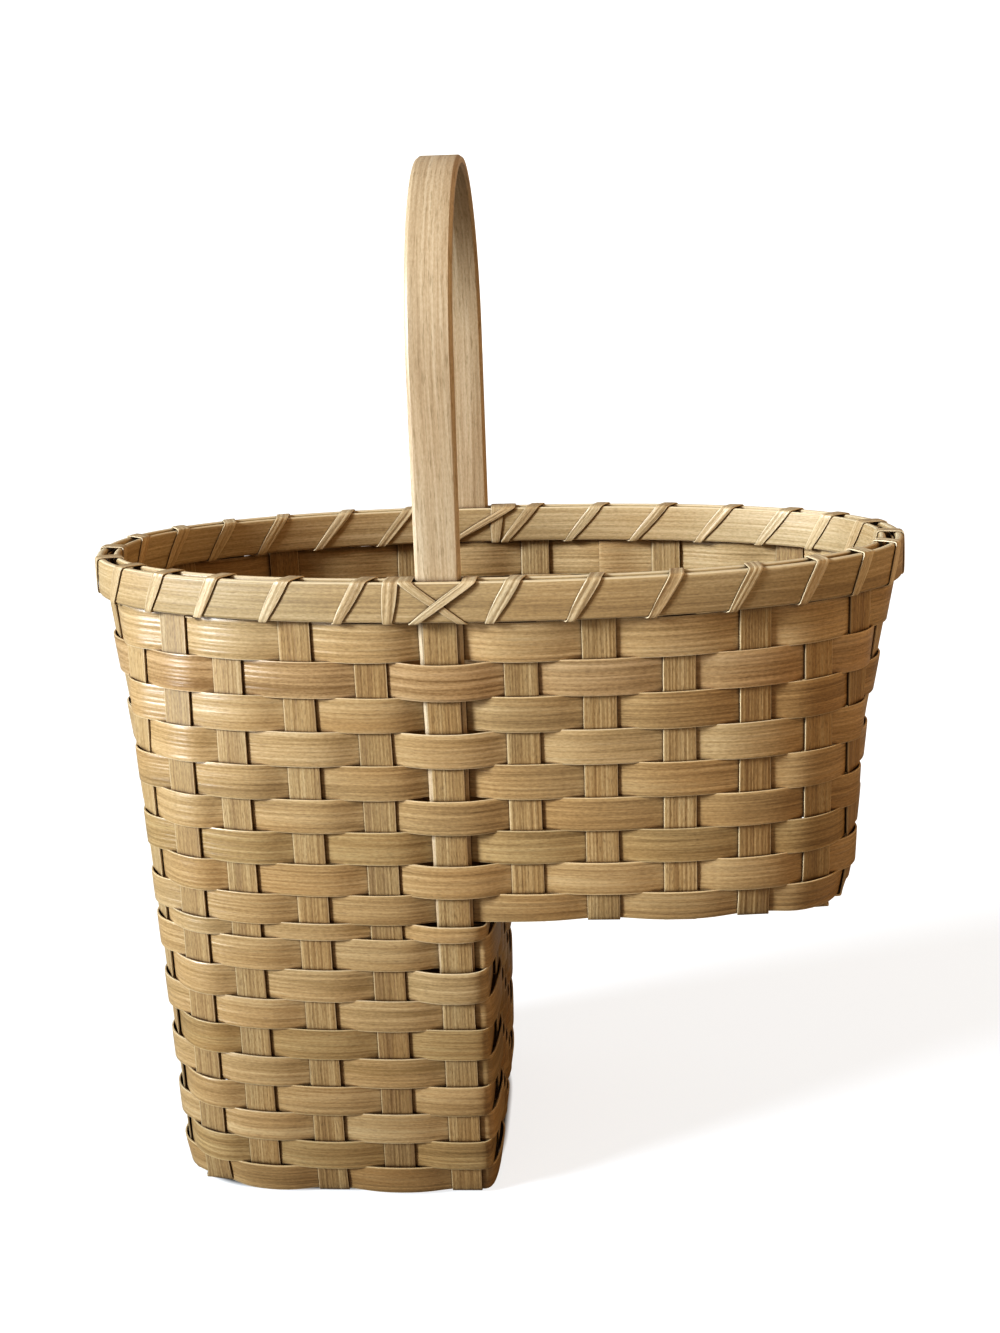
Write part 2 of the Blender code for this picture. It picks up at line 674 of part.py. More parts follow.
def add_lashing(collection):
    """One flat splint wound round both hoops, once between each two stakes."""
    lift = LASH_GAP + LASH_THICKNESS / 2
    layer_step = LASH_THICKNESS + FIT_GAP
    stations = []

    def station(place, depth, height):
        pair = [lash_point(place, side * LASH_WIDTH / 2, depth, height) for side in (-1, 1)]
        stations.append(tuple(pair))

    for (outer_bottom, outer_top, inner_top, inner_bottom), (outer_layer, inner_layer) in lash_passes():
        outer_bottom, inner_bottom = slot_place(outer_bottom), slot_place(inner_bottom)
        outer = -lift - outer_layer * layer_step
        inner = RIM_DEPTH + lift + inner_layer * layer_step
        for step in range(FACE_RUNS + 1):
            share = step / FACE_RUNS
            height = RIM_BOTTOM + HOOP_HEIGHT * share
            station(outer_bottom + (outer_top - outer_bottom) * share, outer, height)
        station(outer_top, 0.0, RIM_HEIGHT + lift)
        station(inner_top, RIM_DEPTH, RIM_HEIGHT + lift)
        for step in range(FACE_RUNS + 1):
            share = step / FACE_RUNS
            height = RIM_HEIGHT - HOOP_HEIGHT * share
            station(inner_top + (inner_bottom - inner_top) * share, inner, height)
        station(inner_bottom, RIM_DEPTH, RIM_BOTTOM - lift)
        station(inner_bottom, 0.0, RIM_BOTTOM - lift)
    add_strip("rim_lashing", stations, LASH_THICKNESS, collection, LASH_FINISH)


def build():
    clear_scene()
    basket = make_collection("stair_basket")
    add_stakes(basket)
    add_splints(basket)
    add_hoops(basket)
    add_handle(basket)
    add_lashing(basket)


build()
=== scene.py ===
"""Stair basket: ash splints woven into two bins, with an oval laced rim and a bent strap handle."""
import math
from collections import namedtuple

import bpy
from mathutils import Matrix, Vector, noise


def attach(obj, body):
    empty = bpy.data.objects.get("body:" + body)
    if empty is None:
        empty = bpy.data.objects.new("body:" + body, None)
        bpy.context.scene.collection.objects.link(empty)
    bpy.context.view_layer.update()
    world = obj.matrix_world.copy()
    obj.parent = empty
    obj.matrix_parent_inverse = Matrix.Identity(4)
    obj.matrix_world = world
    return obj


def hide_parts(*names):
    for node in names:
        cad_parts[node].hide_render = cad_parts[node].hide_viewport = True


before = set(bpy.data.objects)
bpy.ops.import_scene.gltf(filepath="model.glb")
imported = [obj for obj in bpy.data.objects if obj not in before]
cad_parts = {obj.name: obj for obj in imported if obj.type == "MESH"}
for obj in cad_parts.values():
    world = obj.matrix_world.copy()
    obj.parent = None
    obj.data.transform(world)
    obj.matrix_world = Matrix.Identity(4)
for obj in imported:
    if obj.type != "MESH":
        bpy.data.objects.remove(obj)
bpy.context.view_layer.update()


# The stakes: fifteen flat strips of split white ash, 18.6 mm wide, that make both floors.
# They are soaked, bent up at each floor's edge and stand as the walls; the weaving holds them,
# and their tops are clamped between the two hoops of the rim.
RIM_LENGTH = 0.4850
RIM_WIDTH = 0.2450
RIM_HEIGHT = 0.3890
STEP_RISE = 0.1800
HOOP_HEIGHT = 0.0226
OUTER_HOOP_THICKNESS = 0.0048
LASH_SLOT = 0.0027
STAKE_WIDTH = 0.0186
STAKE_THICKNESS = 0.0012
TOP_ROW_LIFT = 0.0018
STAKE_SEAT_GAP = 0.0010
STAKE_DEPTH = OUTER_HOOP_THICKNESS + STAKE_SEAT_GAP + STAKE_THICKNESS / 2
LOWER_STAKE_SHARES = (0.000, 0.210, 0.474, 0.744, 1.000)
UPPER_STAKE_SHARES = (0.000, 0.260, 0.525, 0.780, 1.000)
LONG_STAKE_SHARES = (-0.564, -0.282, 0.000, 0.282, 0.564)
LEFT_STAKE_INSET = 0.0257
RIGHT_STAKE_INSET = 0.0271
RISER_TO_HANDLE_STAKE = 0.0206
RISER_TO_UPPER_STAKE = 0.0227
RISER_TOP = 0.0040
RISER_FOOT = 0.0060
STAKE_TOP_DROP = 0.0020
NOTCH_DROP = 0.0020
NOTCH_STAKE_GAP = 0.0020
FOOT_RISE = 0.0210
FOOT_LEAN = math.radians(10)
RISER_LEAN = math.radians(9)
FOOT_CLEARANCE = 0.0011
TOE_RUN = 0.0025
FLAT_MARGIN = 0.0008
FIT_GAP = 0.0003
SPREAD_STEPS = 60
LOWER_STAKES = len(LOWER_STAKE_SHARES)
LONG_STAKES = len(LONG_STAKE_SHARES)

# How far each oval lies inside the rim at its left, its right and its sides, and how flat it is
WAIST_INSETS = (0.0210, 0.0245, 0.0170)
UPPER_FOOT_INSETS = (0.0285, 0.0305, 0.0200)
LOWER_FOOT_INSETS = (0.0355, 0.0305, 0.0250)
RIM_POWER = 2.2
WAIST_POWER = 3.6
UPPER_FLOOR_POWER = 4.1
LOWER_FLOOR_POWER = 4.9

# Where the rows of weaving meet, from the rim down
UPPER_ROWS = 8
LOWER_ROWS = 8
ROW_GRADE = 0.00025
STEP_ROW_LIFT = 0.0027
NARROW_ROW_PITCH = 0.0097
WAIST_ROW = 4
EDGE_OVERLAP = 0.0005
RIM_BOTTOM = RIM_HEIGHT - HOOP_HEIGHT
WALL_TOP = RIM_BOTTOM - LASH_SLOT
UPPER_FOOT = STEP_RISE + FOOT_RISE
STEP_ROW_BOTTOM = STEP_RISE + STEP_ROW_LIFT
NARROW_ROW_BOTTOM = STEP_ROW_BOTTOM - NARROW_ROW_PITCH
STEP_ROW = UPPER_ROWS + 1
NARROW_ROW = STEP_ROW + 1
FOOT_ROW = NARROW_ROW + LOWER_ROWS + 1


def graded(top, bottom, rows):
    """Heights below each of several rows, a little wider at the top than at the bottom."""
    mean = (top - bottom) / rows
    heights = []
    height = top
    for row in range(rows):
        height -= mean + ROW_GRADE * ((rows - 1) / 2 - row)
        heights.append(height)
    return heights


JOINS = [WALL_TOP] + graded(WALL_TOP, UPPER_FOOT, UPPER_ROWS) + [STEP_ROW_BOTTOM, NARROW_ROW_BOTTOM]
JOINS += graded(NARROW_ROW_BOTTOM, FOOT_RISE, LOWER_ROWS)
WAIST = JOINS[WAIST_ROW]
LAYER = (STAKE_THICKNESS + FIT_GAP) / 2
FLOOR_MIDDLE = LAYER + STAKE_THICKNESS / 2
FOOT_BOTTOM = FLOOR_MIDDLE + FOOT_CLEARANCE
HALF_FLAT = STAKE_WIDTH / 2 + FLAT_MARGIN
UP = Vector((0.0, 0.0, 1.0))
ALONG = Vector((1.0, 0.0, 0.0))
ACROSS = Vector((0.0, 1.0, 0.0))


def signed_power(value, power):
    return math.copysign(abs(value) ** power, value)


class Outline:
    """A level oval inside the rim's outer face, flatter along its sides the higher its power."""

    def __init__(self, left, right, side, power):
        self.centre = (left - right) / 2
        self.half_length = (RIM_LENGTH - left - right) / 2
        self.half_width = RIM_WIDTH / 2 - side
        self.power = power

    def point(self, angle):
        x = self.centre + self.half_length * signed_power(math.cos(angle), 2 / self.power)
        y = self.half_width * signed_power(math.sin(angle), 2 / self.power)
        return Vector((x, y, 0.0))

    def angle_at(self, x, y):
        along = signed_power((x - self.centre) / self.half_length, self.power / 2)
        across = signed_power(y / self.half_width, self.power / 2)
        return math.atan2(across, along)

    def side_point(self, x, side):
        reach = abs((x - self.centre) / self.half_length)
        y = side * self.half_width * (1 - reach ** self.power) ** (1 / self.power)
        return Vector((x, y, 0.0))

    def end_point(self, y, side):
        reach = abs(y / self.half_width)
        x = self.centre + side * self.half_length * (1 - reach ** self.power) ** (1 / self.power)
        return Vector((x, y, 0.0))

    def heading(self, point):
        """The direction of the wall at a point of it, going round with the front first."""
        x = point.x - self.centre
        along = abs(x / self.half_length) ** (self.power - 1)
        across = abs(point.y / self.half_width) ** (self.power - 1)
        outward = Vector((math.copysign(along / self.half_length, x),
                          math.copysign(across / self.half_width, point.y), 0.0))
        return UP.cross(outward).normalized()

    def spread(self, start, end, count):
        """Points evenly spaced along the wall between two of its points, without those two."""
        first = self.angle_at(start.x, start.y)
        last = self.angle_at(end.x, end.y)
        if last < first:
            last += math.tau
        steps = SPREAD_STEPS * (count + 1)
        points = [self.point(first + (last - first) * step / steps) for step in range(steps + 1)]
        lengths = [0.0]
        for before, after in zip(points, points[1:]):
            lengths.append(lengths[-1] + (after - before).length)
        places = []
        for place in range(1, count + 1):
            wanted = lengths[-1] * place / (count + 1)
            step = next(i for i, length in enumerate(lengths) if length >= wanted)
            share = (wanted - lengths[step - 1]) / (lengths[step] - lengths[step - 1])
            places.append(points[step - 1].lerp(points[step], share))
        return places


RIM = Outline(0.0, 0.0, 0.0, RIM_POWER)
SEAT = Outline(STAKE_DEPTH, STAKE_DEPTH, STAKE_DEPTH, RIM_POWER)
WAIST_OUTLINE = Outline(*WAIST_INSETS, WAIST_POWER)
UPPER_OUTLINE = Outline(*UPPER_FOOT_INSETS, UPPER_FLOOR_POWER)
LOWER_OUTLINE = Outline(*LOWER_FOOT_INSETS, LOWER_FLOOR_POWER)
LOWER_LEVEL = (LOWER_OUTLINE, 0.0)
UPPER_LEVEL = (UPPER_OUTLINE, STEP_RISE)
Level = namedtuple("Level", "height centre heading")


class Post:
    """One stake's run up one wall, kept as levels from the top down to its bend into the floor."""

    def __init__(self, levels, floor, lean):
        self.floor = floor
        self.top, self.foot = levels[0], levels[-1]
        bend_height = floor + FOOT_BOTTOM
        inward = UP.cross(self.foot.heading).normalized()
        inset = (self.foot.height - bend_height) * math.tan(lean)
        self.bend = Level(bend_height, self.foot.centre + inward * inset, self.foot.heading)
        self.levels = levels + [self.bend]

    def at(self, height):
        """Centre, heading and outward direction of the stake at a height."""
        for upper, lower in zip(self.levels, self.levels[1:]):
            if height >= lower.height:
                break
        share = (upper.height - height) / (upper.height - lower.height)
        centre = upper.centre.lerp(lower.centre, share)
        heading = upper.heading.lerp(lower.heading, share).normalized()
        rise = upper.centre - lower.centre + UP * (upper.height - lower.height)
        outward = heading.cross(rise).normalized()
        return centre + UP * height, heading, outward

    def row_edges(self, row):
        """Heights of a row's top and bottom edges at this stake."""
        top = min(JOINS[row - 1], self.top.height - FOOT_CLEARANCE)
        lift = TOP_ROW_LIFT if row == 1 else EDGE_OVERLAP / 2
        if top <= self.foot.height:
            return top + lift, self.bend.height + FOOT_CLEARANCE
        return top + lift, JOINS[row] - EDGE_OVERLAP / 2


def wall_post(places, floor):
    """The post at one place on each outline, from the rim down to its floor."""
    rim, waist, foot = places
    foot_outline = LOWER_OUTLINE if floor == 0.0 else UPPER_OUTLINE
    foot_height = FOOT_RISE if floor == 0.0 else UPPER_FOOT
    rim_heading, foot_heading = SEAT.heading(rim), foot_outline.heading(foot)
    waist_share = (RIM_BOTTOM - WAIST) / (RIM_BOTTOM - foot_height)
    waist_heading = rim_heading.lerp(foot_heading, waist_share).normalized()
    levels = [Level(RIM_HEIGHT, rim, rim_heading),
              Level(RIM_BOTTOM, rim, rim_heading),
              Level(WAIST, waist, waist_heading),
              Level(foot_height, foot, foot_heading)]
    return Post(levels, floor, FOOT_LEAN)


def long_stake_y(number):
    return LONG_STAKE_SHARES[number] * LOWER_OUTLINE.half_width


def cross_stake_places():
    """Where the cross stakes stand along the basket, on each side of the riser."""
    left = LOWER_OUTLINE.centre - LOWER_OUTLINE.half_length + LEFT_STAKE_INSET
    right = UPPER_OUTLINE.centre + UPPER_OUTLINE.half_length - RIGHT_STAKE_INSET
    handle_stake = -RISER_TOP - RISER_TO_HANDLE_STAKE
    upper_stake = -RISER_TOP + RISER_TO_UPPER_STAKE
    places = [left + (handle_stake - left) * share for share in LOWER_STAKE_SHARES]
    return places + [upper_stake + (right - upper_stake) * share for share in UPPER_STAKE_SHARES]


def end_posts(side, before, after):
    """The posts of one end wall, spread between the last posts of the walls before and after it."""
    outline, floor = LOWER_LEVEL if side < 0 else UPPER_LEVEL
    rims = SEAT.spread(before.at(RIM_HEIGHT)[0], after.at(RIM_HEIGHT)[0], LONG_STAKES)
    waists = WAIST_OUTLINE.spread(before.at(WAIST)[0], after.at(WAIST)[0], LONG_STAKES)
    feet = [outline.end_point(side * long_stake_y(number), side) for number in range(LONG_STAKES)]
    return [wall_post(places, floor) for places in zip(rims, waists, feet)]


def make_posts():
    """All wall posts in order round the basket from the front left, then those of the riser."""
    front, back = [], []
    for number, x in enumerate(cross_stake_places()):
        outline, floor = LOWER_LEVEL if number < LOWER_STAKES else UPPER_LEVEL
        for side, posts in ((-1, front), (1, back)):
            places = [oval.side_point(x, side) for oval in (SEAT, WAIST_OUTLINE, outline)]
            posts.append(wall_post(places, floor))
    back.reverse()
    right = end_posts(1, front[-1], back[0])
    left = end_posts(-1, back[-1], front[0])
    riser = []
    for number in range(LONG_STAKES):
        top = Vector((-RISER_TOP, long_stake_y(number), 0.0))
        foot = Vector((-RISER_FOOT, long_stake_y(number), 0.0))
        levels = [Level(STEP_RISE, top, ACROSS), Level(FOOT_RISE, foot, ACROSS)]
        riser.append(Post(levels, 0.0, RISER_LEAN))
    return front, right, back, left, riser


FRONT, RIGHT, BACK, LEFT, RISER = make_posts()
FULL_RING = FRONT + RIGHT + BACK + LEFT
LOWER_RING = FRONT[:LOWER_STAKES] + RISER + BACK[-LOWER_STAKES:] + LEFT
HANDLE_FRONT = FRONT[LOWER_STAKES - 1]
HANDLE_BACK = BACK[-LOWER_STAKES]


def linear(colour):
    """An sRGB hex colour as the linear RGBA that a shader reads."""
    channels = [int(colour[place:place + 2], 16) / 255 for place in (1, 3, 5)]
    return [c / 12.92 if c <= 0.04045 else ((c + 0.055) / 1.055) ** 2.4 for c in channels] + [1.0]


def add_node(material, kind, settings, links, output=0):
    """Adds a node and returns an output; settings are its values, links feed its sockets."""
    node = material.node_tree.nodes.new("ShaderNode" + kind)
    for name, value in settings.items():
        if name == "stops":
            for element, (place, colour) in zip(node.color_ramp.elements, value):
                element.position = place
                element.color = linear(colour)
            for place, colour in value[2:]:
                node.color_ramp.elements.new(place).color = linear(colour)
        elif isinstance(name, str) and hasattr(node, name):
            setattr(node, name, value)
        else:
            node.inputs[name].default_value = value
    for name, socket in links.items():
        material.node_tree.links.new(socket, node.inputs[name])
    return node.outputs[output]


# Sizes of the wood's patterns, along and across the grain
MM_PER_M = 1000.0
BROAD_STREAKS_MM = (260.0, 8.0)
PIECE_TINT_MM = (900.0, 400.0)
FLECKS_MM = (2.6, 1.0)
BLUSH_MM = (150.0, 70.0)
RIDGE_RUN_MM = 120.0
EDGE_BAND = 0.0006
# How high the painted shade towards the foot reaches
FOOT_SHADE_HEIGHT = 0.25
# How far the painted crevice shade looks for nearby parts
CREVICE_REACH = 0.0050

# Their weights, and the noise values between which each one comes in
NOISE_ROUGHNESS = 0.6
BROAD_DISTORTION = 0.3
PIECE_SHARE = 0.25
STREAK_SHARE = 0.60
FLECK_SHARE = 0.15
TONE_LOW, TONE_HIGH = 0.38, 0.62
BLUSH_LOW, BLUSH_HIGH = 0.34, 0.66
BLUSH_HUES = (0.501, 0.4955)
BLUSH_DEPTHS = (0.96, 1.04)
PORE_LOW, PORE_HIGH = 0.58, 0.72
# The painted shade towards the foot: its share at the floor and its tint
FOOT_SHADE_SHARE = 0.6
FOOT_SHADE_TINT = "#c4bfb6"
# The painted crevice shade: its samples, the open-air values it fades between, and its tint
CREVICE_SAMPLES = 6
AIR_LOW, AIR_HIGH = 0.25, 0.80
CREVICE_SHADE_TINT = "#6a4c32"
DULL_ROUGHNESS = 0.12
SHINY_ROUGHNESS = 0.06
FINE_RELIEF = 0.25
PORE_RELIEF = 0.15
BUMP_STRENGTH = 0.8


def split_ash(name, tones, pale, pore, streak_mm=1.1, run_mm=60.0, band=0.30, roughness=0.31,
              relief_mm=0.60, ridge_mm=2.2, pore_mm=(6.0, 0.9), pore_share=0.26, edge_share=0.8):
    """White ash split along its growth rings, so its grain is long fine streaks with open pores.

    The streaks run along the strip; their width across is the thickness of the ring's layers.
    Real pores are 0.3 mm wide. They and the flecks are drawn 1 mm wide, as coarse as they need
    to show. The wood blushes from yellow to orange along its run. Cut edges are paler than the
    faces, partly their own colour and partly a painted highlight. The split face has low ridges
    and a satin sheen. A painted shade darkens the wood towards the foot, and a painted shade
    browns the crevices of the weave."""
    material = bpy.data.materials.new(name)
    material.use_nodes = True
    shader = material.node_tree.nodes["Principled BSDF"]
    grain = add_node(material, "UVMap", {"uv_map": "UVMap"}, {})

    def streaks(run, width, detail, distortion=0.0):
        """Noise drawn out along the strip, its sizes in millimetres."""
        scale = (MM_PER_M / run, MM_PER_M / width, 1.0)
        place = add_node(material, "Mapping", {"Scale": scale}, {"Vector": grain})
        return add_node(material, "TexNoise",
                        {"noise_dimensions": "2D", "Scale": 1.0, "Detail": detail,
                         "Roughness": NOISE_ROUGHNESS, "Distortion": distortion},
                        {"Vector": place})

    fine = streaks(run_mm, streak_mm, detail=4.0)
    broad = streaks(*BROAD_STREAKS_MM, detail=2.0, distortion=BROAD_DISTORTION)
    piece = streaks(*PIECE_TINT_MM, detail=1.0)
    dashes = streaks(*pore_mm, detail=2.0)
    flecks = streaks(*FLECKS_MM, detail=1.0)
    blush = streaks(*BLUSH_MM, detail=1.0)
    ridges = streaks(RIDGE_RUN_MM, ridge_mm, detail=0.0)
    so_far = {}
    for pattern, share in ((piece, PIECE_SHARE), (broad, band), (fine, STREAK_SHARE - band),
                           (flecks, FLECK_SHARE)):
        mixed = add_node(material, "Math", {"operation": "MULTIPLY_ADD", 1: share, 2: 0.0},
                         {0: pattern, **so_far})
        so_far = {2: mixed}
    spread = add_node(material, "MapRange", {"From Min": TONE_LOW, "From Max": TONE_HIGH},
                      {"Value": mixed})
    wood = add_node(material, "ValToRGB",
                    {"stops": ((0.0, tones[0]), (1.0, tones[2]), (0.5, tones[1]))},
                    {"Fac": spread})
    hue, depth = [
        add_node(material, "MapRange", {"From Min": BLUSH_LOW, "From Max": BLUSH_HIGH,
                                        "To Min": low, "To Max": high}, {"Value": blush})
        for low, high in (BLUSH_HUES, BLUSH_DEPTHS)]
    colour = add_node(material, "HueSaturation", {},
                      {"Hue": hue, "Saturation": depth, "Color": wood})
    open_pores = add_node(material, "MapRange",
                          {"From Min": PORE_LOW, "From Max": PORE_HIGH, "To Max": pore_share},
                          {"Value": dashes})
    # Edges are paler, partly the cut wood's own colour and partly a painted highlight
    edge = add_node(material, "Attribute", {"attribute_name": "edge"}, {}, "Fac")
    pale_edge_and_highlight = add_node(material, "MapRange",
                        {"From Max": EDGE_BAND, "To Min": edge_share, "To Max": 0.0},
                        {"Value": edge})
    place = add_node(material, "TexCoord", {}, {}, "Object")
    height = add_node(material, "SeparateXYZ", {}, {"Vector": place}, "Z")
    # Painted shade: the wood is darkened towards the foot
    foot_shade = add_node(material, "MapRange",
                     {"From Max": FOOT_SHADE_HEIGHT, "To Min": FOOT_SHADE_SHARE, "To Max": 0.0},
                     {"Value": height})
    # Painted shade: crevices of the weave, where little open air reaches, are browned towards a
    # dark tint
    open_air = add_node(material, "AmbientOcclusion",
                        {"samples": CREVICE_SAMPLES, "Distance": CREVICE_REACH}, {}, "AO")
    crevice = add_node(material, "MapRange", {"From Min": AIR_LOW, "From Max": AIR_HIGH,
                                              "To Min": 1.0, "To Max": 0.0}, {"Value": open_air})
    for share, blend, tint in ((open_pores, "MIX", pore), (pale_edge_and_highlight, "MIX", pale),
                               (foot_shade, "MULTIPLY", FOOT_SHADE_TINT), (crevice, "MULTIPLY", CREVICE_SHADE_TINT)):
        colour = add_node(material, "MixRGB", {"blend_type": blend, "Color2": linear(tint)},
                          {"Fac": share, "Color1": colour})
    gloss = add_node(material, "MapRange",
                     {"To Min": roughness + DULL_ROUGHNESS, "To Max": roughness - SHINY_ROUGHNESS},
                     {"Value": fine})
    raised = add_node(material, "Math", {"operation": "MULTIPLY_ADD", 1: FINE_RELIEF},
                      {0: fine, 2: ridges})
    relief = add_node(material, "Math", {"operation": "MULTIPLY_ADD", 1: -PORE_RELIEF},
                      {0: open_pores, 2: raised})
    bump = add_node(material, "Bump",
                    {"Strength": BUMP_STRENGTH, "Distance": relief_mm / MM_PER_M},
                    {"Height": relief})
    for output, socket in ((colour, "Base Color"), (gloss, "Roughness"), (bump, "Normal")):
        material.node_tree.links.new(output, shader.inputs[socket])
    return material


def start_modelling():
    bpy.ops.object.select_all(action="DESELECT")


def apply_modifier(item, kind, settings):
    """Adds a modifier, sets it and applies it."""
    modifier = item.modifiers.new(kind.title(), kind)
    for name, value in settings.items():
        setattr(modifier, name, value)
    bpy.ops.object.modifier_apply(modifier=modifier.name)


WELD_DISTANCE = 0.000003
LAP_THICKNESS_SHARE = 0.5
EDGE_ANGLE = math.radians(50)
SMOOTH_ANGLE = math.radians(35)


def lay_strip(name, stations, thickness, material, crown=0.0, closed=False, levels=2,
              round_over=0.0002, round_segments=2, start_run=0.0, thin_ends=0):
    """A flat strip. A grid is laid on its stations, smoothed, thickened, and its edges eased.

    A station is the strip's two edge points and its outward direction. The grid's map keeps
    metres: the run along the strip and the distance from its centre line. The strip is thinner
    over as many stations at each end as thin_ends says."""
    runs = len(stations) if closed else len(stations) - 1
    start_modelling()
    bpy.ops.mesh.primitive_grid_add(x_subdivisions=2, y_subdivisions=runs, size=1.0)
    item = bpy.context.active_object
    item.name = item.data.name = name
    mesh = item.data
    centres = [(first + second) / 2 + outward * crown for first, second, outward in stations]
    lengths = [start_run]
    for station in range(runs):
        following = centres[(station + 1) % len(stations)]
        lengths.append(lengths[-1] + (following - centres[station]).length)
    numbers, places = [], []
    edge = mesh.attributes.new("edge", "FLOAT", "POINT")
    for vertex in mesh.vertices:
        station = round((vertex.co.y + 0.5) * runs)
        side = round((vertex.co.x + 0.5) * 2)
        numbers.append(station)
        first, second, _ = stations[station % len(stations)]
        vertex.co = (first, centres[station % len(stations)], second)[side]
        half_width = (second - first).length / 2
        edge.data[vertex.index].value = half_width * (side == 1)
        places.append((lengths[station], half_width * (side - 1)))
    for loop in mesh.loops:
        mesh.uv_layers.active.data[loop.index].uv = places[loop.vertex_index]
    if thin_ends:
        group = item.vertex_groups.new(name="Full thickness")
        for vertex, station in enumerate(numbers):
            past_lap = min(station, runs - station) - thin_ends
            group.add([vertex], LAP_THICKNESS_SHARE if past_lap < 0 else 1.0, "REPLACE")
    if closed:
        bpy.ops.object.mode_set(mode="EDIT")
        bpy.ops.mesh.select_all(action="SELECT")
        bpy.ops.mesh.remove_doubles(threshold=WELD_DISTANCE)
        bpy.ops.object.mode_set(mode="OBJECT")
    if levels:
        apply_modifier(item, "SUBSURF", {"levels": levels, "render_levels": levels,
                                         "boundary_smooth": "PRESERVE_CORNERS"})
    shell = {"thickness": thickness, "offset": 0.0, "use_even_offset": True}
    if thin_ends:
        shell["vertex_group"] = "Full thickness"
    apply_modifier(item, "SOLIDIFY", shell)
    apply_modifier(item, "BEVEL", {"width": round_over, "segments": round_segments,
                                   "limit_method": "ANGLE", "angle_limit": EDGE_ANGLE})
    bpy.ops.object.shade_smooth_by_angle(angle=SMOOTH_ANGLE)
    mesh.materials.append(material)
    return item


def seat(piece, node):
    """The piece stands for the CAD solid of that name and moves with the basket."""
    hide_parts(node)
    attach(piece, "root")


# Stakes are browner and drier than the weavers, and their pores show as short dark dashes
STAKE_ASH = split_ash("split white ash stake", ("#937752", "#ac9065", "#c3aa80"), "#dfcca8",
                      "#6b5333", streak_mm=1.2, run_mm=90.0, roughness=0.42, relief_mm=0.40,
                      ridge_mm=1.6, pore_share=0.45)
DOUBLED_STAKE_PROUD = 0.0012
UPPER_WALL_ROWS = list(range(UPPER_ROWS))
LOWER_WALL_ROWS = list(range(WAIST_ROW)) + list(range(WAIST_ROW, FOOT_ROW - 1, 2))


def wall_stations(post, width_direction, rows):
    """Stations up one wall, from the bend to the top."""
    notched = post in (HANDLE_FRONT, HANDLE_BACK)
    top = RIM_HEIGHT - (NOTCH_DROP + NOTCH_STAKE_GAP if notched else STAKE_TOP_DROP)
    heights = [post.bend.height, post.foot.height] + [JOINS[row] for row in reversed(rows)]
    stations = []
    for height in heights + [RIM_BOTTOM, top]:
        centre, heading, outward = post.at(height)
        if notched and JOINS[UPPER_ROWS] <= height < WALL_TOP:
            centre = centre + outward * DOUBLED_STAKE_PROUD
        half = (heading if heading.dot(width_direction) > 0 else -heading) * STAKE_WIDTH / 2
        stations.append((centre - half, centre + half, outward))
    return stations


def floor_height(floor, cross, long, of_cross_stake):
    """Height of a stake where the cross stake and the long stake of these numbers meet."""
    cross_is_over = (cross + long) % 2 == 0
    return floor + FLOOR_MIDDLE + (LAYER if cross_is_over == of_cross_stake else -LAYER)


def floor_stations(flats, direction, centre_line):
    """Level stretches of a stake's run across a floor, given as its places and heights."""
    half = direction * STAKE_WIDTH / 2
    stations = []
    for place, height in flats:
        centre = centre_line + (ACROSS if direction is ALONG else ALONG) * place + UP * height
        stations.append((centre - half, centre + half, -UP))
    return stations


def cross_stake(number):
    """Down the front wall, across a floor over and under the long stakes, and up the back wall."""
    front, back = FRONT[number], BACK[-1 - number]
    rows = LOWER_WALL_ROWS if number < LOWER_STAKES else UPPER_WALL_ROWS
    flats = []
    for long in range(LONG_STAKES):
        z = floor_height(front.floor, number, long, True)
        flats += [(long_stake_y(long) - HALF_FLAT, z), (long_stake_y(long) + HALF_FLAT, z)]
    flats = ([(front.bend.centre.y + TOE_RUN, flats[0][1])] + flats
             + [(back.bend.centre.y - TOE_RUN, flats[-1][1])])
    floor = floor_stations(flats, ALONG, Vector((front.foot.centre.x, 0.0, 0.0)))
    return wall_stations(front, ALONG, rows)[::-1] + floor + wall_stations(back, ALONG, rows)


def long_floor(number, crosses, start, end):
    """A long stake's run along one floor, through the cross stakes of these numbers."""
    flats = []
    for cross in crosses:
        x = FRONT[cross].foot.centre.x
        z = floor_height(FRONT[cross].floor, cross, number, False)
        flats += [(x - HALF_FLAT, z), (x + HALF_FLAT, z)]
    flats = [(start, flats[0][1])] + flats + [(end, flats[-1][1])]
    return floor_stations(flats, ACROSS, Vector((0.0, long_stake_y(number), 0.0)))


def long_stake(number):
    """Down the left wall, along the lower floor, up the riser, and on to the right wall."""
    left, riser, right = LEFT[-1 - number], RISER[number], RIGHT[number]
    bend = FOOT_CLEARANCE + STAKE_THICKNESS
    half = ACROSS * STAKE_WIDTH / 2
    lower_floor = long_floor(number, range(LOWER_STAKES), left.bend.centre.x + TOE_RUN,
                             riser.bend.centre.x - TOE_RUN)
    upper_floor = long_floor(number, range(LOWER_STAKES, len(FRONT)), riser.top.centre.x + 2 * bend,
                             right.bend.centre.x - TOE_RUN)
    climb = []
    for height in (FOOT_BOTTOM, FOOT_RISE, STEP_RISE / 2, STEP_RISE - FOOT_CLEARANCE):
        centre, _, outward = riser.at(height)
        climb.append((centre - half, centre + half, outward))
    nose_height = STEP_RISE + FLOOR_MIDDLE / 2
    nose = Vector((riser.top.centre.x + bend / 2, long_stake_y(number), nose_height))
    climb.append((nose - half, nose + half, -UP))
    return (wall_stations(left, ACROSS, LOWER_WALL_ROWS)[::-1] + lower_floor + climb + upper_floor
            + wall_stations(right, ACROSS, UPPER_WALL_ROWS))


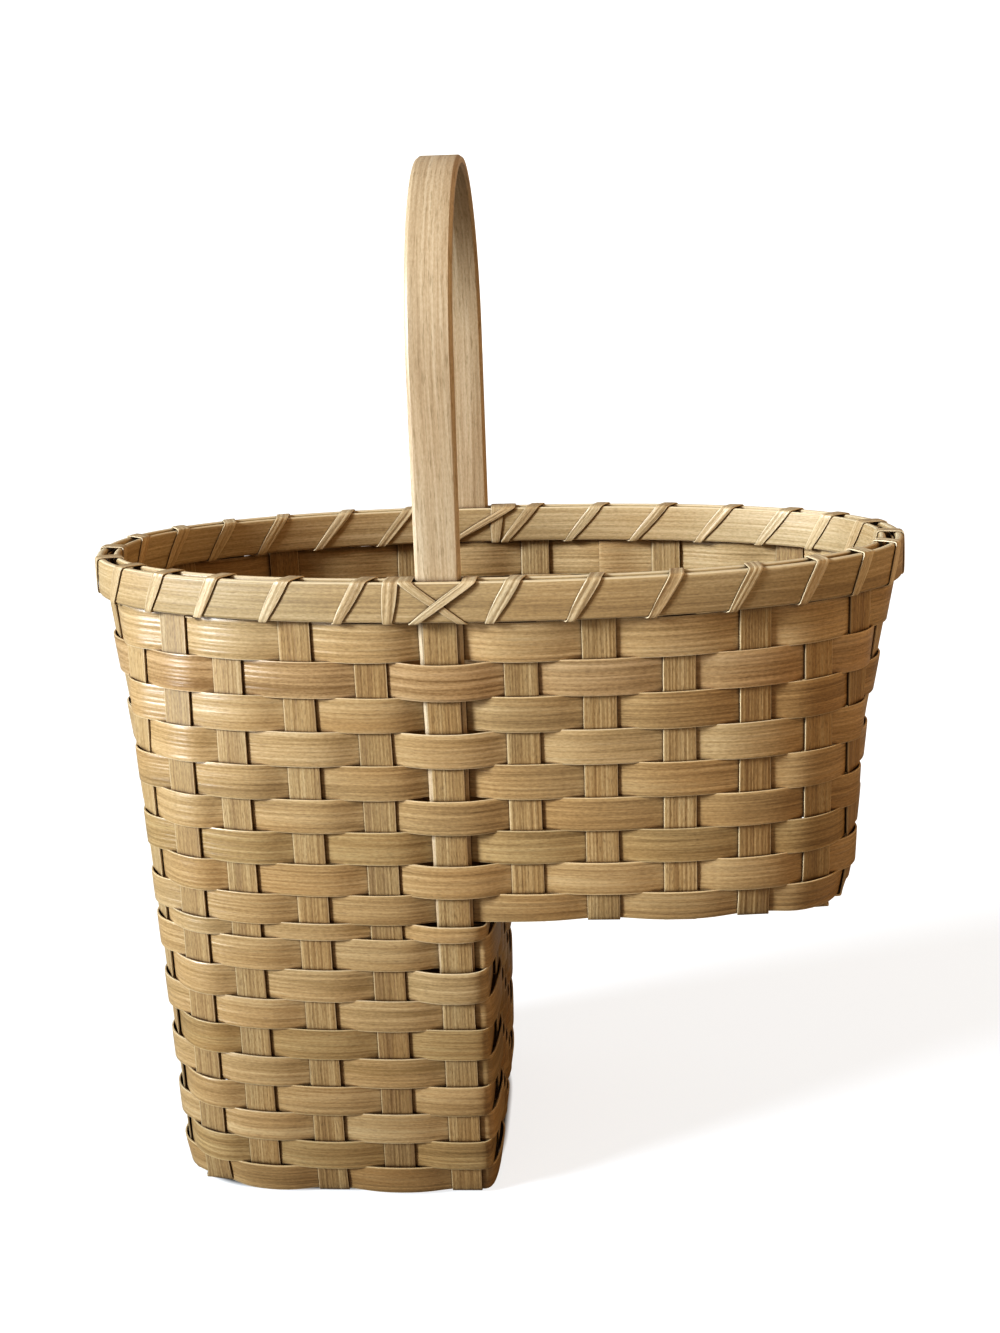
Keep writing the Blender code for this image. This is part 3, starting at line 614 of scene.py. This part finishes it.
WANDER_STEP = 0.7
WANDER_KEY_STEP = 3.1
FIRST_EDGE_SLICE = 0.5
SECOND_EDGE_SLICE = 7.5


def uneven(stations, key, amount):
    """Hand-cut edges: the width wanders a little from station to station, each strip by its key."""
    cut = []
    for place, (first, second, outward) in enumerate(stations):
        width = (second - first).normalized()
        a, b = [noise.noise(Vector((place * WANDER_STEP, key * WANDER_KEY_STEP, edge_slice)))
                for edge_slice in (FIRST_EDGE_SLICE, SECOND_EDGE_SLICE)]
        cut.append((first + width * a * amount, second + width * b * amount, outward))
    return cut


# Each strip starts at its own place on the wood's pattern, in metres, so that no two are alike
STAKE_EDGE_WANDER = 0.0006
CROSS_START_STEP = 3.37
LONG_START = 50.0
LONG_START_STEP = 4.13
LONG_KEY = 20
for number in range(len(FRONT)):
    stake = lay_strip(f"cross_splint_stake_{number + 1:02d}",
                      uneven(cross_stake(number), number, STAKE_EDGE_WANDER),
                      STAKE_THICKNESS, STAKE_ASH, start_run=number * CROSS_START_STEP)
    seat(stake, f"cross_stake_{number + 1:02d}")
for number in range(LONG_STAKES):
    stake = lay_strip(f"long_splint_stake_{number + 1}",
                      uneven(long_stake(number), number + LONG_KEY, STAKE_EDGE_WANDER),
                      STAKE_THICKNESS, STAKE_ASH, start_run=LONG_START + number * LONG_START_STEP)
    seat(stake, f"long_stake_{number + 1}")


# The weavers: nineteen thin ash splints, each woven once round, over and under the stakes in turn.
# Nine go round the whole basket and ten round the lower bin; the tenth row is a narrow filler.
# Each one's two ends are shaved thin and lapped over two stakes, where the weave pinches them.
SPLINT_THICKNESS = 0.0012
SPLINT_CROWN = 0.00008
WEAVE_OFFSET = 0.0024
OVER_RUN_SHARE = 0.35
UNDER_HALF_RUN = 0.0098
BEND_HALF_RUN = 0.0088
DOUBLED_STAKE_LIFT = 0.0020
DOUBLED_STAKE_DIP = 0.0009
CORNER_CUT = 0.0040
CORNER_DIP = 0.0030
LAP_STAKES = 2
LAP_STATIONS = 4
LAP_SHIFT = 0.00032
HOLD_BACK = 0.0009
FOOT_ROW_DROP = 0.0004
SPLINT_EDGE_WANDER = 0.0006
TAIL_THICKNESS = 0.0025
TAIL_END_THICKNESS = 0.0014
TAIL_END_WIDTH = 0.0205
TAIL_LENGTH = 0.2280
TAIL_END = RIM_BOTTOM - TAIL_LENGTH
HANDLE_RIM_WIDTH = 0.0250
SPLINT_START = 100.0
SPLINT_START_STEP = 2.71
SPLINT_KEY = 40

# Weavers are smooth, with a satin sheen and fine streaks, in four shades from straw to russet
SPLINT_WOODS = {
    shade: split_ash(f"split ash splint, {shade}", tones, pale, pore, band=band)
    for shade, tones, pale, pore, band in (
        ("straw", ("#a2875c", "#bda075", "#d0b78d"), "#e9d7b5", "#6f583b", 0.30),
        ("honey", ("#987c54", "#b39569", "#c8ac81"), "#e8d2aa", "#6b5335", 0.30),
        ("olive", ("#91774f", "#ac9064", "#c0a77b"), "#e0cca5", "#625135", 0.30),
        ("russet", ("#967850", "#b99a70", "#ccae86"), "#e3caa2", "#69502f", 0.40))}

# Each row's shade, and the stake at which its first end is tucked in, from the rim down
ROW_SHADES = ("straw", "russet", "honey", "straw", "honey", "honey", "olive", "honey", "honey",
              "straw", "honey", "straw", "straw", "olive", "straw", "honey", "straw", "olive",
              "honey")
ROW_STARTS = (15, 18, 13, 26, 17, 22, 15, 3, 20, 10, 13, 14, 11, 12, 15, 10, 13, 12, 11)


def tail_thickness(height):
    """Thickness of the handle's tail, which thins towards its end."""
    share = min(max((RIM_BOTTOM - height) / TAIL_LENGTH, 0.0), 1.0)
    return TAIL_THICKNESS + (TAIL_END_THICKNESS - TAIL_THICKNESS) * share


def tail_width(height):
    share = min(max((RIM_BOTTOM - height) / TAIL_LENGTH, 0.0), 1.0)
    return HANDLE_RIM_WIDTH + (TAIL_END_WIDTH - HANDLE_RIM_WIDTH) * share


def splint_pass(ring, row, place):
    """How far a splint lies outside a stake, and how far it runs level on each side of it."""
    post = ring[place]
    top, bottom = post.row_edges(row)
    doubled = post in (HANDLE_FRONT, HANDLE_BACK) and top > TAIL_END
    over = (row + place) % 2 == 0
    runs = []
    for neighbour in (ring[place - 1], ring[(place + 1) % len(ring)]):
        on_one_wall = any(post in wall and neighbour in wall for wall in (FRONT, BACK))
        spacing = (neighbour.at(top)[0] - post.at(top)[0]).length
        if over:
            runs.append(spacing * OVER_RUN_SHARE if on_one_wall else BEND_HALF_RUN)
        else:
            least = UNDER_HALF_RUN if on_one_wall else BEND_HALF_RUN
            runs.append(max(least, doubled * tail_width(top) / 2))
    if over:
        return WEAVE_OFFSET + doubled * DOUBLED_STAKE_LIFT, runs
    return -WEAVE_OFFSET - doubled * (tail_thickness(top) + FIT_GAP), runs


def corner_stations(row, first, second, first_is_over):
    """Where a splint turns between a side wall and the riser, deeper beside a stake over it."""
    wall, riser = (second, first) if first in RISER else (first, second)
    on_wall, on_riser = [], []
    for edge in (0, 1):
        wall_height, riser_height = wall.row_edges(row)[edge], riser.row_edges(row)[edge]
        height = (wall_height + riser_height) / 2
        x, y = riser.at(riser_height)[0].x, wall.at(wall_height)[0].y
        on_wall.append(Vector((x - CORNER_CUT, y, height)))
        on_riser.append(Vector((x, y - math.copysign(CORNER_CUT, y), height)))
    outward = Vector((1.0, math.copysign(1.0, on_wall[0].y), 0.0)).normalized()
    wall_is_over = first_is_over != (first in RISER)
    turns = [(*on_wall, outward, 0.0 if wall_is_over else -CORNER_DIP),
             (*on_riser, outward, -CORNER_DIP if wall_is_over else 0.0)]
    return turns[::-1] if first in RISER else turns


def held_out(stations):
    """Points set out from a curve by what smoothing takes off it, a third, at most HOLD_BACK."""
    held = []
    for place, (upper, lower, outward, offset) in enumerate(stations):
        before = stations[max(place - 1, 0)]
        after = stations[min(place + 1, len(stations) - 1)]
        moved = []
        for edge, point in enumerate((upper, lower)):
            pull = point - (before[edge] + after[edge]) / 2
            pull = pull / 3 if 0 < place < len(stations) - 1 else Vector()
            if pull.length > HOLD_BACK:
                pull = pull.normalized() * HOLD_BACK
            moved.append(point + pull + outward * offset)
        held.append((*moved, outward))
    return held


def splint_stations(row):
    """Stations of one woven splint, from its first end round to its lap over that end."""
    ring = FULL_RING if row <= STEP_ROW else LOWER_RING
    start = ROW_STARTS[row - 1]
    if (row + start) % 2 == 0:
        start += 1
    stations = []
    last = len(ring) + LAP_STAKES
    for step in range(last + 1):
        place = (start + step) % len(ring)
        post = ring[place]
        offset, runs = splint_pass(ring, row, place)
        offset += LAP_SHIFT * ((step <= LAP_STAKES) - (step >= len(ring)))
        top, bottom = post.row_edges(row)
        upper, upper_heading, upper_out = post.at(top)
        lower, lower_heading, lower_out = post.at(bottom)
        outward = (upper_out + lower_out).normalized()
        if offset > WEAVE_OFFSET + DOUBLED_STAKE_LIFT / 2:
            upper, lower = upper - UP * DOUBLED_STAKE_DIP, lower - UP * DOUBLED_STAKE_DIP
        if row == FOOT_ROW and offset > 0.0:
            lower = lower - UP * FOOT_ROW_DROP
        sides = (0, 1) if step == 0 else (-1, 0) if step == last else (-1, 1)
        for side in sides:
            shift = side * runs[side > 0]
            stations.append((upper + upper_heading * shift, lower + lower_heading * shift,
                             outward, offset))
        following = ring[(place + 1) % len(ring)]
        if step < last and (post in RISER) != (following in RISER):
            stations += corner_stations(row, post, following, offset > 0.0)
    return held_out(stations)


for row in range(1, FOOT_ROW + 1):
    splint = lay_strip(f"woven_splint_{row:02d}",
                       uneven(splint_stations(row), row + SPLINT_KEY, SPLINT_EDGE_WANDER),
                       SPLINT_THICKNESS, SPLINT_WOODS[ROW_SHADES[row - 1]], crown=SPLINT_CROWN,
                       start_run=SPLINT_START + row * SPLINT_START_STEP, thin_ends=LAP_STATIONS)
    seat(splint, f"splint_row_{row:02d}")


# The rim hoops: two bands of shaved ash, bent on edge into ovals with their ends scarfed together.
# The outer one lies outside the stake tops and the inner one inside them, with a gap between them;
# their long edges are rounded over so that the lashing isn't cut.
INNER_HOOP_THICKNESS = 0.0040
HOOP_ROUND = 0.0018
HOOP_ROUND_SEGMENTS = 4
OUTER_HOOP_START = 200.0
INNER_HOOP_START = 210.0
HOOP_STATIONS = 160
TAIL_OUTER_DEPTH = STAKE_DEPTH + STAKE_THICKNESS / 2 + FIT_GAP
TAIL_INNER_DEPTH = TAIL_OUTER_DEPTH + TAIL_THICKNESS
INNER_HOOP_DEPTH = TAIL_INNER_DEPTH + FIT_GAP
RIM_DEPTH = INNER_HOOP_DEPTH + INNER_HOOP_THICKNESS

# Shaved hoops are flat and rather dull, with longer streaks and less relief than split wood
HOOP_ASH = split_ash("shaved white ash hoop", ("#9c8460", "#b59b71", "#cbb38c"), "#e4d1ae",
                     "#735b3d", streak_mm=1.4, run_mm=100.0, roughness=0.42, relief_mm=0.30)


def rim_frame(angle):
    """A point of the rim's outer face and the outward direction there."""
    point = RIM.point(angle)
    outward = RIM.heading(point).cross(UP)
    return point, outward


for name, node, depth, thickness, run in (
        ("outer_hoop", "outer_rim_hoop", 0.0, OUTER_HOOP_THICKNESS, OUTER_HOOP_START),
        ("inner_hoop", "inner_rim_hoop", INNER_HOOP_DEPTH, INNER_HOOP_THICKNESS,
         INNER_HOOP_START)):
    stations = []
    for station in range(HOOP_STATIONS):
        point, outward = rim_frame(math.tau * station / HOOP_STATIONS)
        centre = point - outward * (depth + thickness / 2)
        stations.append((centre + UP * RIM_HEIGHT, centre + UP * RIM_BOTTOM, outward))
    hoop = lay_strip(name, stations, thickness, HOOP_ASH, closed=True, levels=0,
                     round_over=HOOP_ROUND, round_segments=HOOP_ROUND_SEGMENTS, start_run=run)
    seat(hoop, node)


# The handle: one strap of straight-grained ash, shaved to 6 mm, steamed and bent to an arch.
# Its edges are chamfered, it is notched where the hoops clamp it, and its two thin tails
# run down behind a stake of each side wall and are held by the weaving.
HANDLE_HEIGHT = 0.6130
HANDLE_WIDTH = 0.0254
HANDLE_THICKNESS = 0.0060
HANDLE_ARCH_INSET = 0.0095
HANDLE_CHAMFER = 0.0020
HANDLE_CHAMFER_DEPTH = 0.0014
DEEPEST_CHAMFER_SHARE = 0.45
HANDLE_ROUND = 0.0005
HANDLE_ROUND_SEGMENTS = 2
HANDLE_EDGE_ANGLE = math.radians(20)
HANDLE_SMOOTH_ANGLE = math.radians(30)
HANDLE_START = 300.0
AWAY_FROM_EDGE = 0.01
SECTION_CORNERS = 8
ARCH_STATIONS = 72

# The shaved strap is the palest wood, smooth, with long thin open pores running up it
HANDLE_ASH = split_ash("shaved steam-bent ash", ("#ad9575", "#c1aa89", "#d3bfa0"), "#ebddc2",
                       "#97805f", streak_mm=1.6, run_mm=80.0, roughness=0.38, relief_mm=0.22,
                       pore_mm=(13.0, 1.1), pore_share=0.55)


def handle_section(centre, along, outward, width, thickness):
    """A strap's cross-section at one station: a rectangle with its four corners taken off."""
    half_width, half_thickness = width / 2, thickness / 2
    depth = min(HANDLE_CHAMFER_DEPTH, thickness * DEEPEST_CHAMFER_SHARE)
    loop = []
    for x_side, y_side in ((1, 1), (1, -1), (-1, -1), (-1, 1)):
        on_edge = along * x_side * half_width + outward * y_side * (half_thickness - depth)
        on_face = along * x_side * (half_width - HANDLE_CHAMFER) + outward * y_side * half_thickness
        first, second = (on_face, on_edge) if x_side == y_side else (on_edge, on_face)
        loop += [centre + first, centre + second]
    return loop


def handle_half():
    """Sections of the front half of the handle: tail, notched leg and half of the arch."""
    sections = []
    for height in (TAIL_END, JOINS[STEP_ROW], WAIST, RIM_BOTTOM, RIM_HEIGHT - NOTCH_DROP - FIT_GAP):
        centre, heading, outward = HANDLE_FRONT.at(height)
        if height >= RIM_BOTTOM:
            outward = heading.cross(UP)
        thickness = tail_thickness(height)
        depth = STAKE_THICKNESS / 2 + FIT_GAP + thickness / 2
        sections.append((centre - outward * depth, heading, outward, tail_width(height), thickness))
    leg_thickness = TAIL_INNER_DEPTH - OUTER_HOOP_THICKNESS - FIT_GAP
    depth = TAIL_INNER_DEPTH - STAKE_DEPTH - leg_thickness / 2
    for height in (RIM_HEIGHT - NOTCH_DROP, RIM_HEIGHT):
        centre, heading, _ = HANDLE_FRONT.at(height)
        outward = heading.cross(UP)
        sections.append((centre - outward * depth, heading, outward, HANDLE_RIM_WIDTH,
                         leg_thickness))
    arch = RIM_WIDTH / 2 - HANDLE_ARCH_INSET
    spring = HANDLE_HEIGHT - arch
    radius = arch - HANDLE_THICKNESS / 2
    for station in range(ARCH_STATIONS // 2 + 1):
        angle = math.pi / 2 * station / (ARCH_STATIONS // 2)
        outward = Vector((0.0, -math.cos(angle), math.sin(angle)))
        centre = Vector((HANDLE_FRONT.top.centre.x, 0.0, spring)) + outward * radius
        sections.append((centre, ALONG, outward, HANDLE_WIDTH, HANDLE_THICKNESS))
    return sections


def mirrored(vector):
    return Vector((vector.x, -vector.y, vector.z))


half = handle_half()
sections = half + [(mirrored(centre), mirrored(along), mirrored(outward), width, thickness)
                   for centre, along, outward, width, thickness in reversed(half[:-1])]
loops = [handle_section(*section) for section in sections]
start_modelling()
bpy.ops.mesh.primitive_grid_add(x_subdivisions=SECTION_CORNERS, y_subdivisions=len(loops) - 1,
                                size=1.0)
handle = bpy.context.active_object
handle.name = handle.data.name = "strap_handle"
mesh = handle.data
runs = [HANDLE_START]
for before, after in zip(sections, sections[1:]):
    runs.append(runs[-1] + (after[0] - before[0]).length)
places = []
edge = mesh.attributes.new("edge", "FLOAT", "POINT")
for vertex in mesh.vertices:
    station = round((vertex.co.y + 0.5) * (len(loops) - 1))
    corner = round((vertex.co.x + 0.5) * SECTION_CORNERS)
    loop = loops[station]
    vertex.co = loop[corner % SECTION_CORNERS]
    around = sum((loop[(i + 1) % SECTION_CORNERS] - loop[i]).length for i in range(corner))
    places.append((runs[station], around))
    edge.data[vertex.index].value = AWAY_FROM_EDGE
for corner in mesh.loops:
    mesh.uv_layers.active.data[corner.index].uv = places[corner.vertex_index]
bpy.ops.object.mode_set(mode="EDIT")
bpy.ops.mesh.select_all(action="SELECT")
bpy.ops.mesh.remove_doubles(threshold=WELD_DISTANCE)
bpy.ops.mesh.select_all(action="DESELECT")
bpy.ops.mesh.select_mode(type="EDGE")
bpy.ops.mesh.select_non_manifold(extend=False)
bpy.ops.mesh.edge_face_add()
bpy.ops.mesh.select_all(action="SELECT")
bpy.ops.mesh.normals_make_consistent(inside=False)
bpy.ops.object.mode_set(mode="OBJECT")
apply_modifier(handle, "BEVEL", {"width": HANDLE_ROUND, "segments": HANDLE_ROUND_SEGMENTS,
                                 "limit_method": "ANGLE", "angle_limit": HANDLE_EDGE_ANGLE})
bpy.ops.object.shade_smooth_by_angle(angle=HANDLE_SMOOTH_ANGLE)
mesh.materials.append(HANDLE_ASH)
seat(handle, "handle")


# The lashing: one thin splint wound round both hoops once between each two stakes.
# It is pulled tight over the rounded edges while damp, and crosses itself at each handle leg.
LASH_WIDTH = 0.0082
LASH_PINCH_SHARE = 0.62
LASH_THICKNESS = 0.0008
LASH_GAP = 0.0002
LASH_STAKE_GAP = 0.0006
LASH_EDGE_WANDER = 0.0006
LASH_CROWN = 0.00015
LASH_KEY = 77
LASH_START = 400.0
FACE_RUNS = 2
ANGLE_STEPS = 4

# Where a pass lies at its outer foot, outer top, inner top and inner foot, in gaps between stakes.
# Where passes cross, each also has its layer on the outer face and on the inner one.
WRAP_SHARES = (0.64, 0.94, 1.02, 1.47)
CROSSING_SHARES = (
    ((-0.70, -0.62, -0.62, 0.34), (0, 1)),
    ((0.30, -0.44, -0.44, -0.40), (0, 0)),
    ((-0.34, 0.40, 0.40, 0.65), (1, 0)),
)

# The lashing is the thinnest split wood, paler and cleaner than the weavers, with a soft sheen
LASH_ASH = split_ash("split ash lashing", ("#a48a64", "#c5ac84", "#dcc8a4"), "#ecdcbd", "#7c6445",
                     streak_mm=1.2, roughness=0.38, edge_share=0.50)


def lash_passes():
    """Every pass of the lashing in order, with crossed passes at the two handle legs."""
    crossings = (FULL_RING.index(HANDLE_FRONT), FULL_RING.index(HANDLE_BACK))
    passes = []
    for gap in range(len(FULL_RING)):
        if gap + 1 in crossings:
            for shares, layers in CROSSING_SHARES:
                passes.append(([gap + 1 + share for share in shares], layers))
        else:
            passes.append(([gap + share for share in WRAP_SHARES], (0, 0)))
    return passes


def rim_angle(place):
    """The angle at which the rim faces a place counted in stakes."""
    gap = math.floor(place)
    start, end = [FULL_RING[(gap + step) % len(FULL_RING)].at(RIM_HEIGHT)[0] for step in (0, 1)]
    centre = start.lerp(end, place - gap)
    angle = RIM.angle_at(centre.x, centre.y)
    for _ in range(ANGLE_STEPS):
        point = RIM.point(angle)
        heading = RIM.heading(point)
        point += heading * heading.dot(centre - point)
        angle = RIM.angle_at(point.x, point.y)
    return angle


def slot_place(place):
    """The nearest place where the lashing can cross under the rim, clear of the stakes."""
    gap = math.floor(place)
    ends = [FULL_RING[(gap + step) % len(FULL_RING)].at(RIM_HEIGHT)[0] for step in (0, 1)]
    room = (STAKE_WIDTH + LASH_WIDTH * LASH_PINCH_SHARE) / 2 + LASH_STAKE_GAP
    margin_share = room / (ends[1] - ends[0]).length
    return gap + min(max(place - gap, margin_share), 1 - margin_share)


def lash_stations():
    """Stations of the lashing, from its first pass over the front left of the rim."""
    lift = LASH_GAP + LASH_THICKNESS / 2
    layer_step = LASH_THICKNESS + FIT_GAP
    stations = []

    def station(place, depth, height, face):
        point, outward = rim_frame(rim_angle(place))
        width_share = LASH_PINCH_SHARE if height <= RIM_BOTTOM else 1.0
        along = RIM.heading(point) * LASH_WIDTH * width_share / 2
        centre = point - outward * depth + UP * height
        stations.append((centre - along, centre + along, outward * face.x + UP * face.y))

    passes = lash_passes()
    for number, ((outer_bottom, outer_top, inner_top, inner_bottom), layers) in enumerate(passes):
        outer_layer, inner_layer = layers
        following = passes[number + 1][0][0] if number + 1 < len(passes) else inner_bottom
        outer_bottom, inner_bottom = slot_place(outer_bottom), slot_place(inner_bottom)
        outer = -lift - outer_layer * layer_step
        inner = RIM_DEPTH + lift + inner_layer * layer_step
        for step in range(FACE_RUNS + 1):
            share = step / FACE_RUNS
            station(outer_bottom + (outer_top - outer_bottom) * share, outer,
                    RIM_BOTTOM + HOOP_HEIGHT * share, Vector((1.0, 0.0)))
        station(outer_top, 0.0, RIM_HEIGHT + lift, Vector((0.0, 1.0)))
        station(inner_top, RIM_DEPTH, RIM_HEIGHT + lift, Vector((0.0, 1.0)))
        for step in range(FACE_RUNS + 1):
            share = step / FACE_RUNS
            station(inner_top + (inner_bottom - inner_top) * share, inner,
                    RIM_HEIGHT - HOOP_HEIGHT * share, Vector((-1.0, 0.0)))
        station(inner_bottom, RIM_DEPTH, RIM_BOTTOM - lift, Vector((0.0, -1.0)))
        station(slot_place(following), 0.0, RIM_BOTTOM - lift, Vector((0.0, -1.0)))
    return stations


lashing = lay_strip("lashing_splint", uneven(lash_stations(), LASH_KEY, LASH_EDGE_WANDER),
                    LASH_THICKNESS, LASH_ASH, crown=LASH_CROWN, start_run=LASH_START)
seat(lashing, "rim_lashing")


# The floor is a plain pale board. Two soft lamps light the basket from the left, one high and one
# low, a warm wall gives light back from the right, and the room is even. The camera stands where
# the photograph was taken from, a little above the rim and to the right.
FLOOR_SIZE = 12.0
FLOOR_GLOW = 0.6
SHADE_START = 0.85
SHADE_CENTRE = Vector((-0.103, 0.0040, 0.0))
SHADE_HALF = Vector((0.1000, 0.0940, 1.0))
CAMERA_PLACE = Vector((0.06804, -1.03075, 0.586))
CAMERA_YAW = -0.066
CAMERA_PITCH = 0.262
CAMERA_ROLL = -0.034
CAMERA_FOCUS_SHARE = 1731.9 / 1333
SENSOR_MM = 36.0
LAMP_COLOUR = "#e6f2ff"
LAMP_AZIMUTH = math.radians(63)
LAMP_HEIGHT_ANGLE = math.radians(22)
LAMP_SPREAD = math.radians(16)
LAMP_STRENGTH = 4.10
LOW_HEIGHT_ANGLE = math.radians(3)
LOW_STRENGTH = 1.00
WALL_COLOUR = "#ffcf88"
WALL_AZIMUTH = math.radians(80)
WALL_SPREAD = math.radians(100)
WALL_STRENGTH = 1.50
ROOM_STRENGTH = 0.22

start_modelling()
bpy.ops.mesh.primitive_plane_add(size=FLOOR_SIZE, location=(0.0, 0.0, 0.0))
floor = bpy.context.active_object
floor.name = "floor"
floor_paint = bpy.data.materials.new("matt white board")
floor_paint.use_nodes = True
shown_floor = floor_paint.node_tree.nodes["Principled BSDF"]
shown_floor.inputs["Base Color"].default_value = linear("#a9aaac")
shown_floor.inputs["Roughness"].default_value = 1.0
shown_floor.inputs["Specular IOR Level"].default_value = 0.0
shown_floor.inputs["Emission Color"].default_value = linear("#f4f5f6")
shown_floor.inputs["Emission Strength"].default_value = FLOOR_GLOW

# Light that falls through the weave meets a dim floor, and so does a look down into the basket.
# The camera sees the floor glow, but not under the basket: a painted shade there and at its foot.
dim_floor = add_node(floor_paint, "BsdfDiffuse", {"Color": linear("#8f8b85")}, {})
floor_seen = add_node(floor_paint, "LightPath", {}, {}, "Is Camera Ray")
floor_place = add_node(floor_paint, "TexCoord", {}, {}, "Object")
under_basket = add_node(floor_paint, "VectorMath", {"operation": "SUBTRACT", 1: SHADE_CENTRE},
                        {0: floor_place})
reach = add_node(floor_paint, "VectorMath", {"operation": "DIVIDE", 1: SHADE_HALF},
                 {0: under_basket})
squared = add_node(floor_paint, "VectorMath", {"operation": "MULTIPLY"}, {0: reach, 1: reach})
oval = add_node(floor_paint, "VectorMath", {"operation": "DOT_PRODUCT"},
                {0: squared, 1: squared}, "Value")
in_open = add_node(floor_paint, "MapRange", {"From Min": SHADE_START}, {"Value": oval})
shown_share = add_node(floor_paint, "Math", {"operation": "MULTIPLY"}, {0: floor_seen, 1: in_open})
floor_mix = add_node(floor_paint, "MixShader", {},
                     {0: shown_share, 1: dim_floor, 2: shown_floor.outputs["BSDF"]})
floor_paint.node_tree.links.new(floor_mix,
                                floor_paint.node_tree.nodes["Material Output"].inputs["Surface"])
floor.data.materials.append(floor_paint)

world = bpy.data.worlds.new("white room")
bpy.context.scene.world = world
world.use_nodes = True
room_light = add_node(world, "Background",
                      {"Color": linear("#fbf3ec"), "Strength": ROOM_STRENGTH}, {})
white_wall = add_node(world, "Background", {"Color": linear("#f7f7f6")}, {})
room_seen = add_node(world, "LightPath", {}, {}, "Is Camera Ray")
room_mix = add_node(world, "MixShader", {}, {0: room_seen, 1: room_light, 2: white_wall})
world.node_tree.links.new(room_mix, world.node_tree.nodes["World Output"].inputs["Surface"])

for name, azimuth, height_angle, spread, strength, colour in (
        ("soft lamp", -LAMP_AZIMUTH, LAMP_HEIGHT_ANGLE, LAMP_SPREAD, LAMP_STRENGTH, LAMP_COLOUR),
        ("low soft lamp", -LAMP_AZIMUTH, LOW_HEIGHT_ANGLE, LAMP_SPREAD, LOW_STRENGTH, LAMP_COLOUR),
        ("warm wall", WALL_AZIMUTH, 0.0, WALL_SPREAD, WALL_STRENGTH, WALL_COLOUR)):
    lamp_data = bpy.data.lights.new(name, "SUN")
    lamp_data.angle = spread
    lamp_data.energy = strength
    lamp_data.color = linear(colour)[:3]
    lamp = bpy.data.objects.new(name, lamp_data)
    bpy.context.scene.collection.objects.link(lamp)
    towards_lamp = Vector((math.sin(azimuth) * math.cos(height_angle),
                           -math.cos(azimuth) * math.cos(height_angle), math.sin(height_angle)))
    lamp.rotation_euler = towards_lamp.to_track_quat("Z", "Y").to_euler()

forward = Vector((math.sin(CAMERA_YAW) * math.cos(CAMERA_PITCH),
                  math.cos(CAMERA_YAW) * math.cos(CAMERA_PITCH), -math.sin(CAMERA_PITCH)))
level_right = Vector((math.cos(CAMERA_YAW), -math.sin(CAMERA_YAW), 0.0))
level_up = level_right.cross(forward)
right = level_right * math.cos(CAMERA_ROLL) + level_up * math.sin(CAMERA_ROLL)
upward = level_up * math.cos(CAMERA_ROLL) - level_right * math.sin(CAMERA_ROLL)
camera_data = bpy.data.cameras.new("camera")
camera_data.sensor_width = SENSOR_MM
camera_data.lens = SENSOR_MM * CAMERA_FOCUS_SHARE
camera = bpy.data.objects.new("camera", camera_data)
bpy.context.scene.collection.objects.link(camera)
turn = Matrix((right, upward, -forward)).transposed().to_4x4()
camera.matrix_world = Matrix.Translation(CAMERA_PLACE) @ turn
bpy.context.scene.camera = camera

bpy.context.scene.view_settings.view_transform = "Standard"
bpy.context.scene.view_settings.look = "High Contrast"
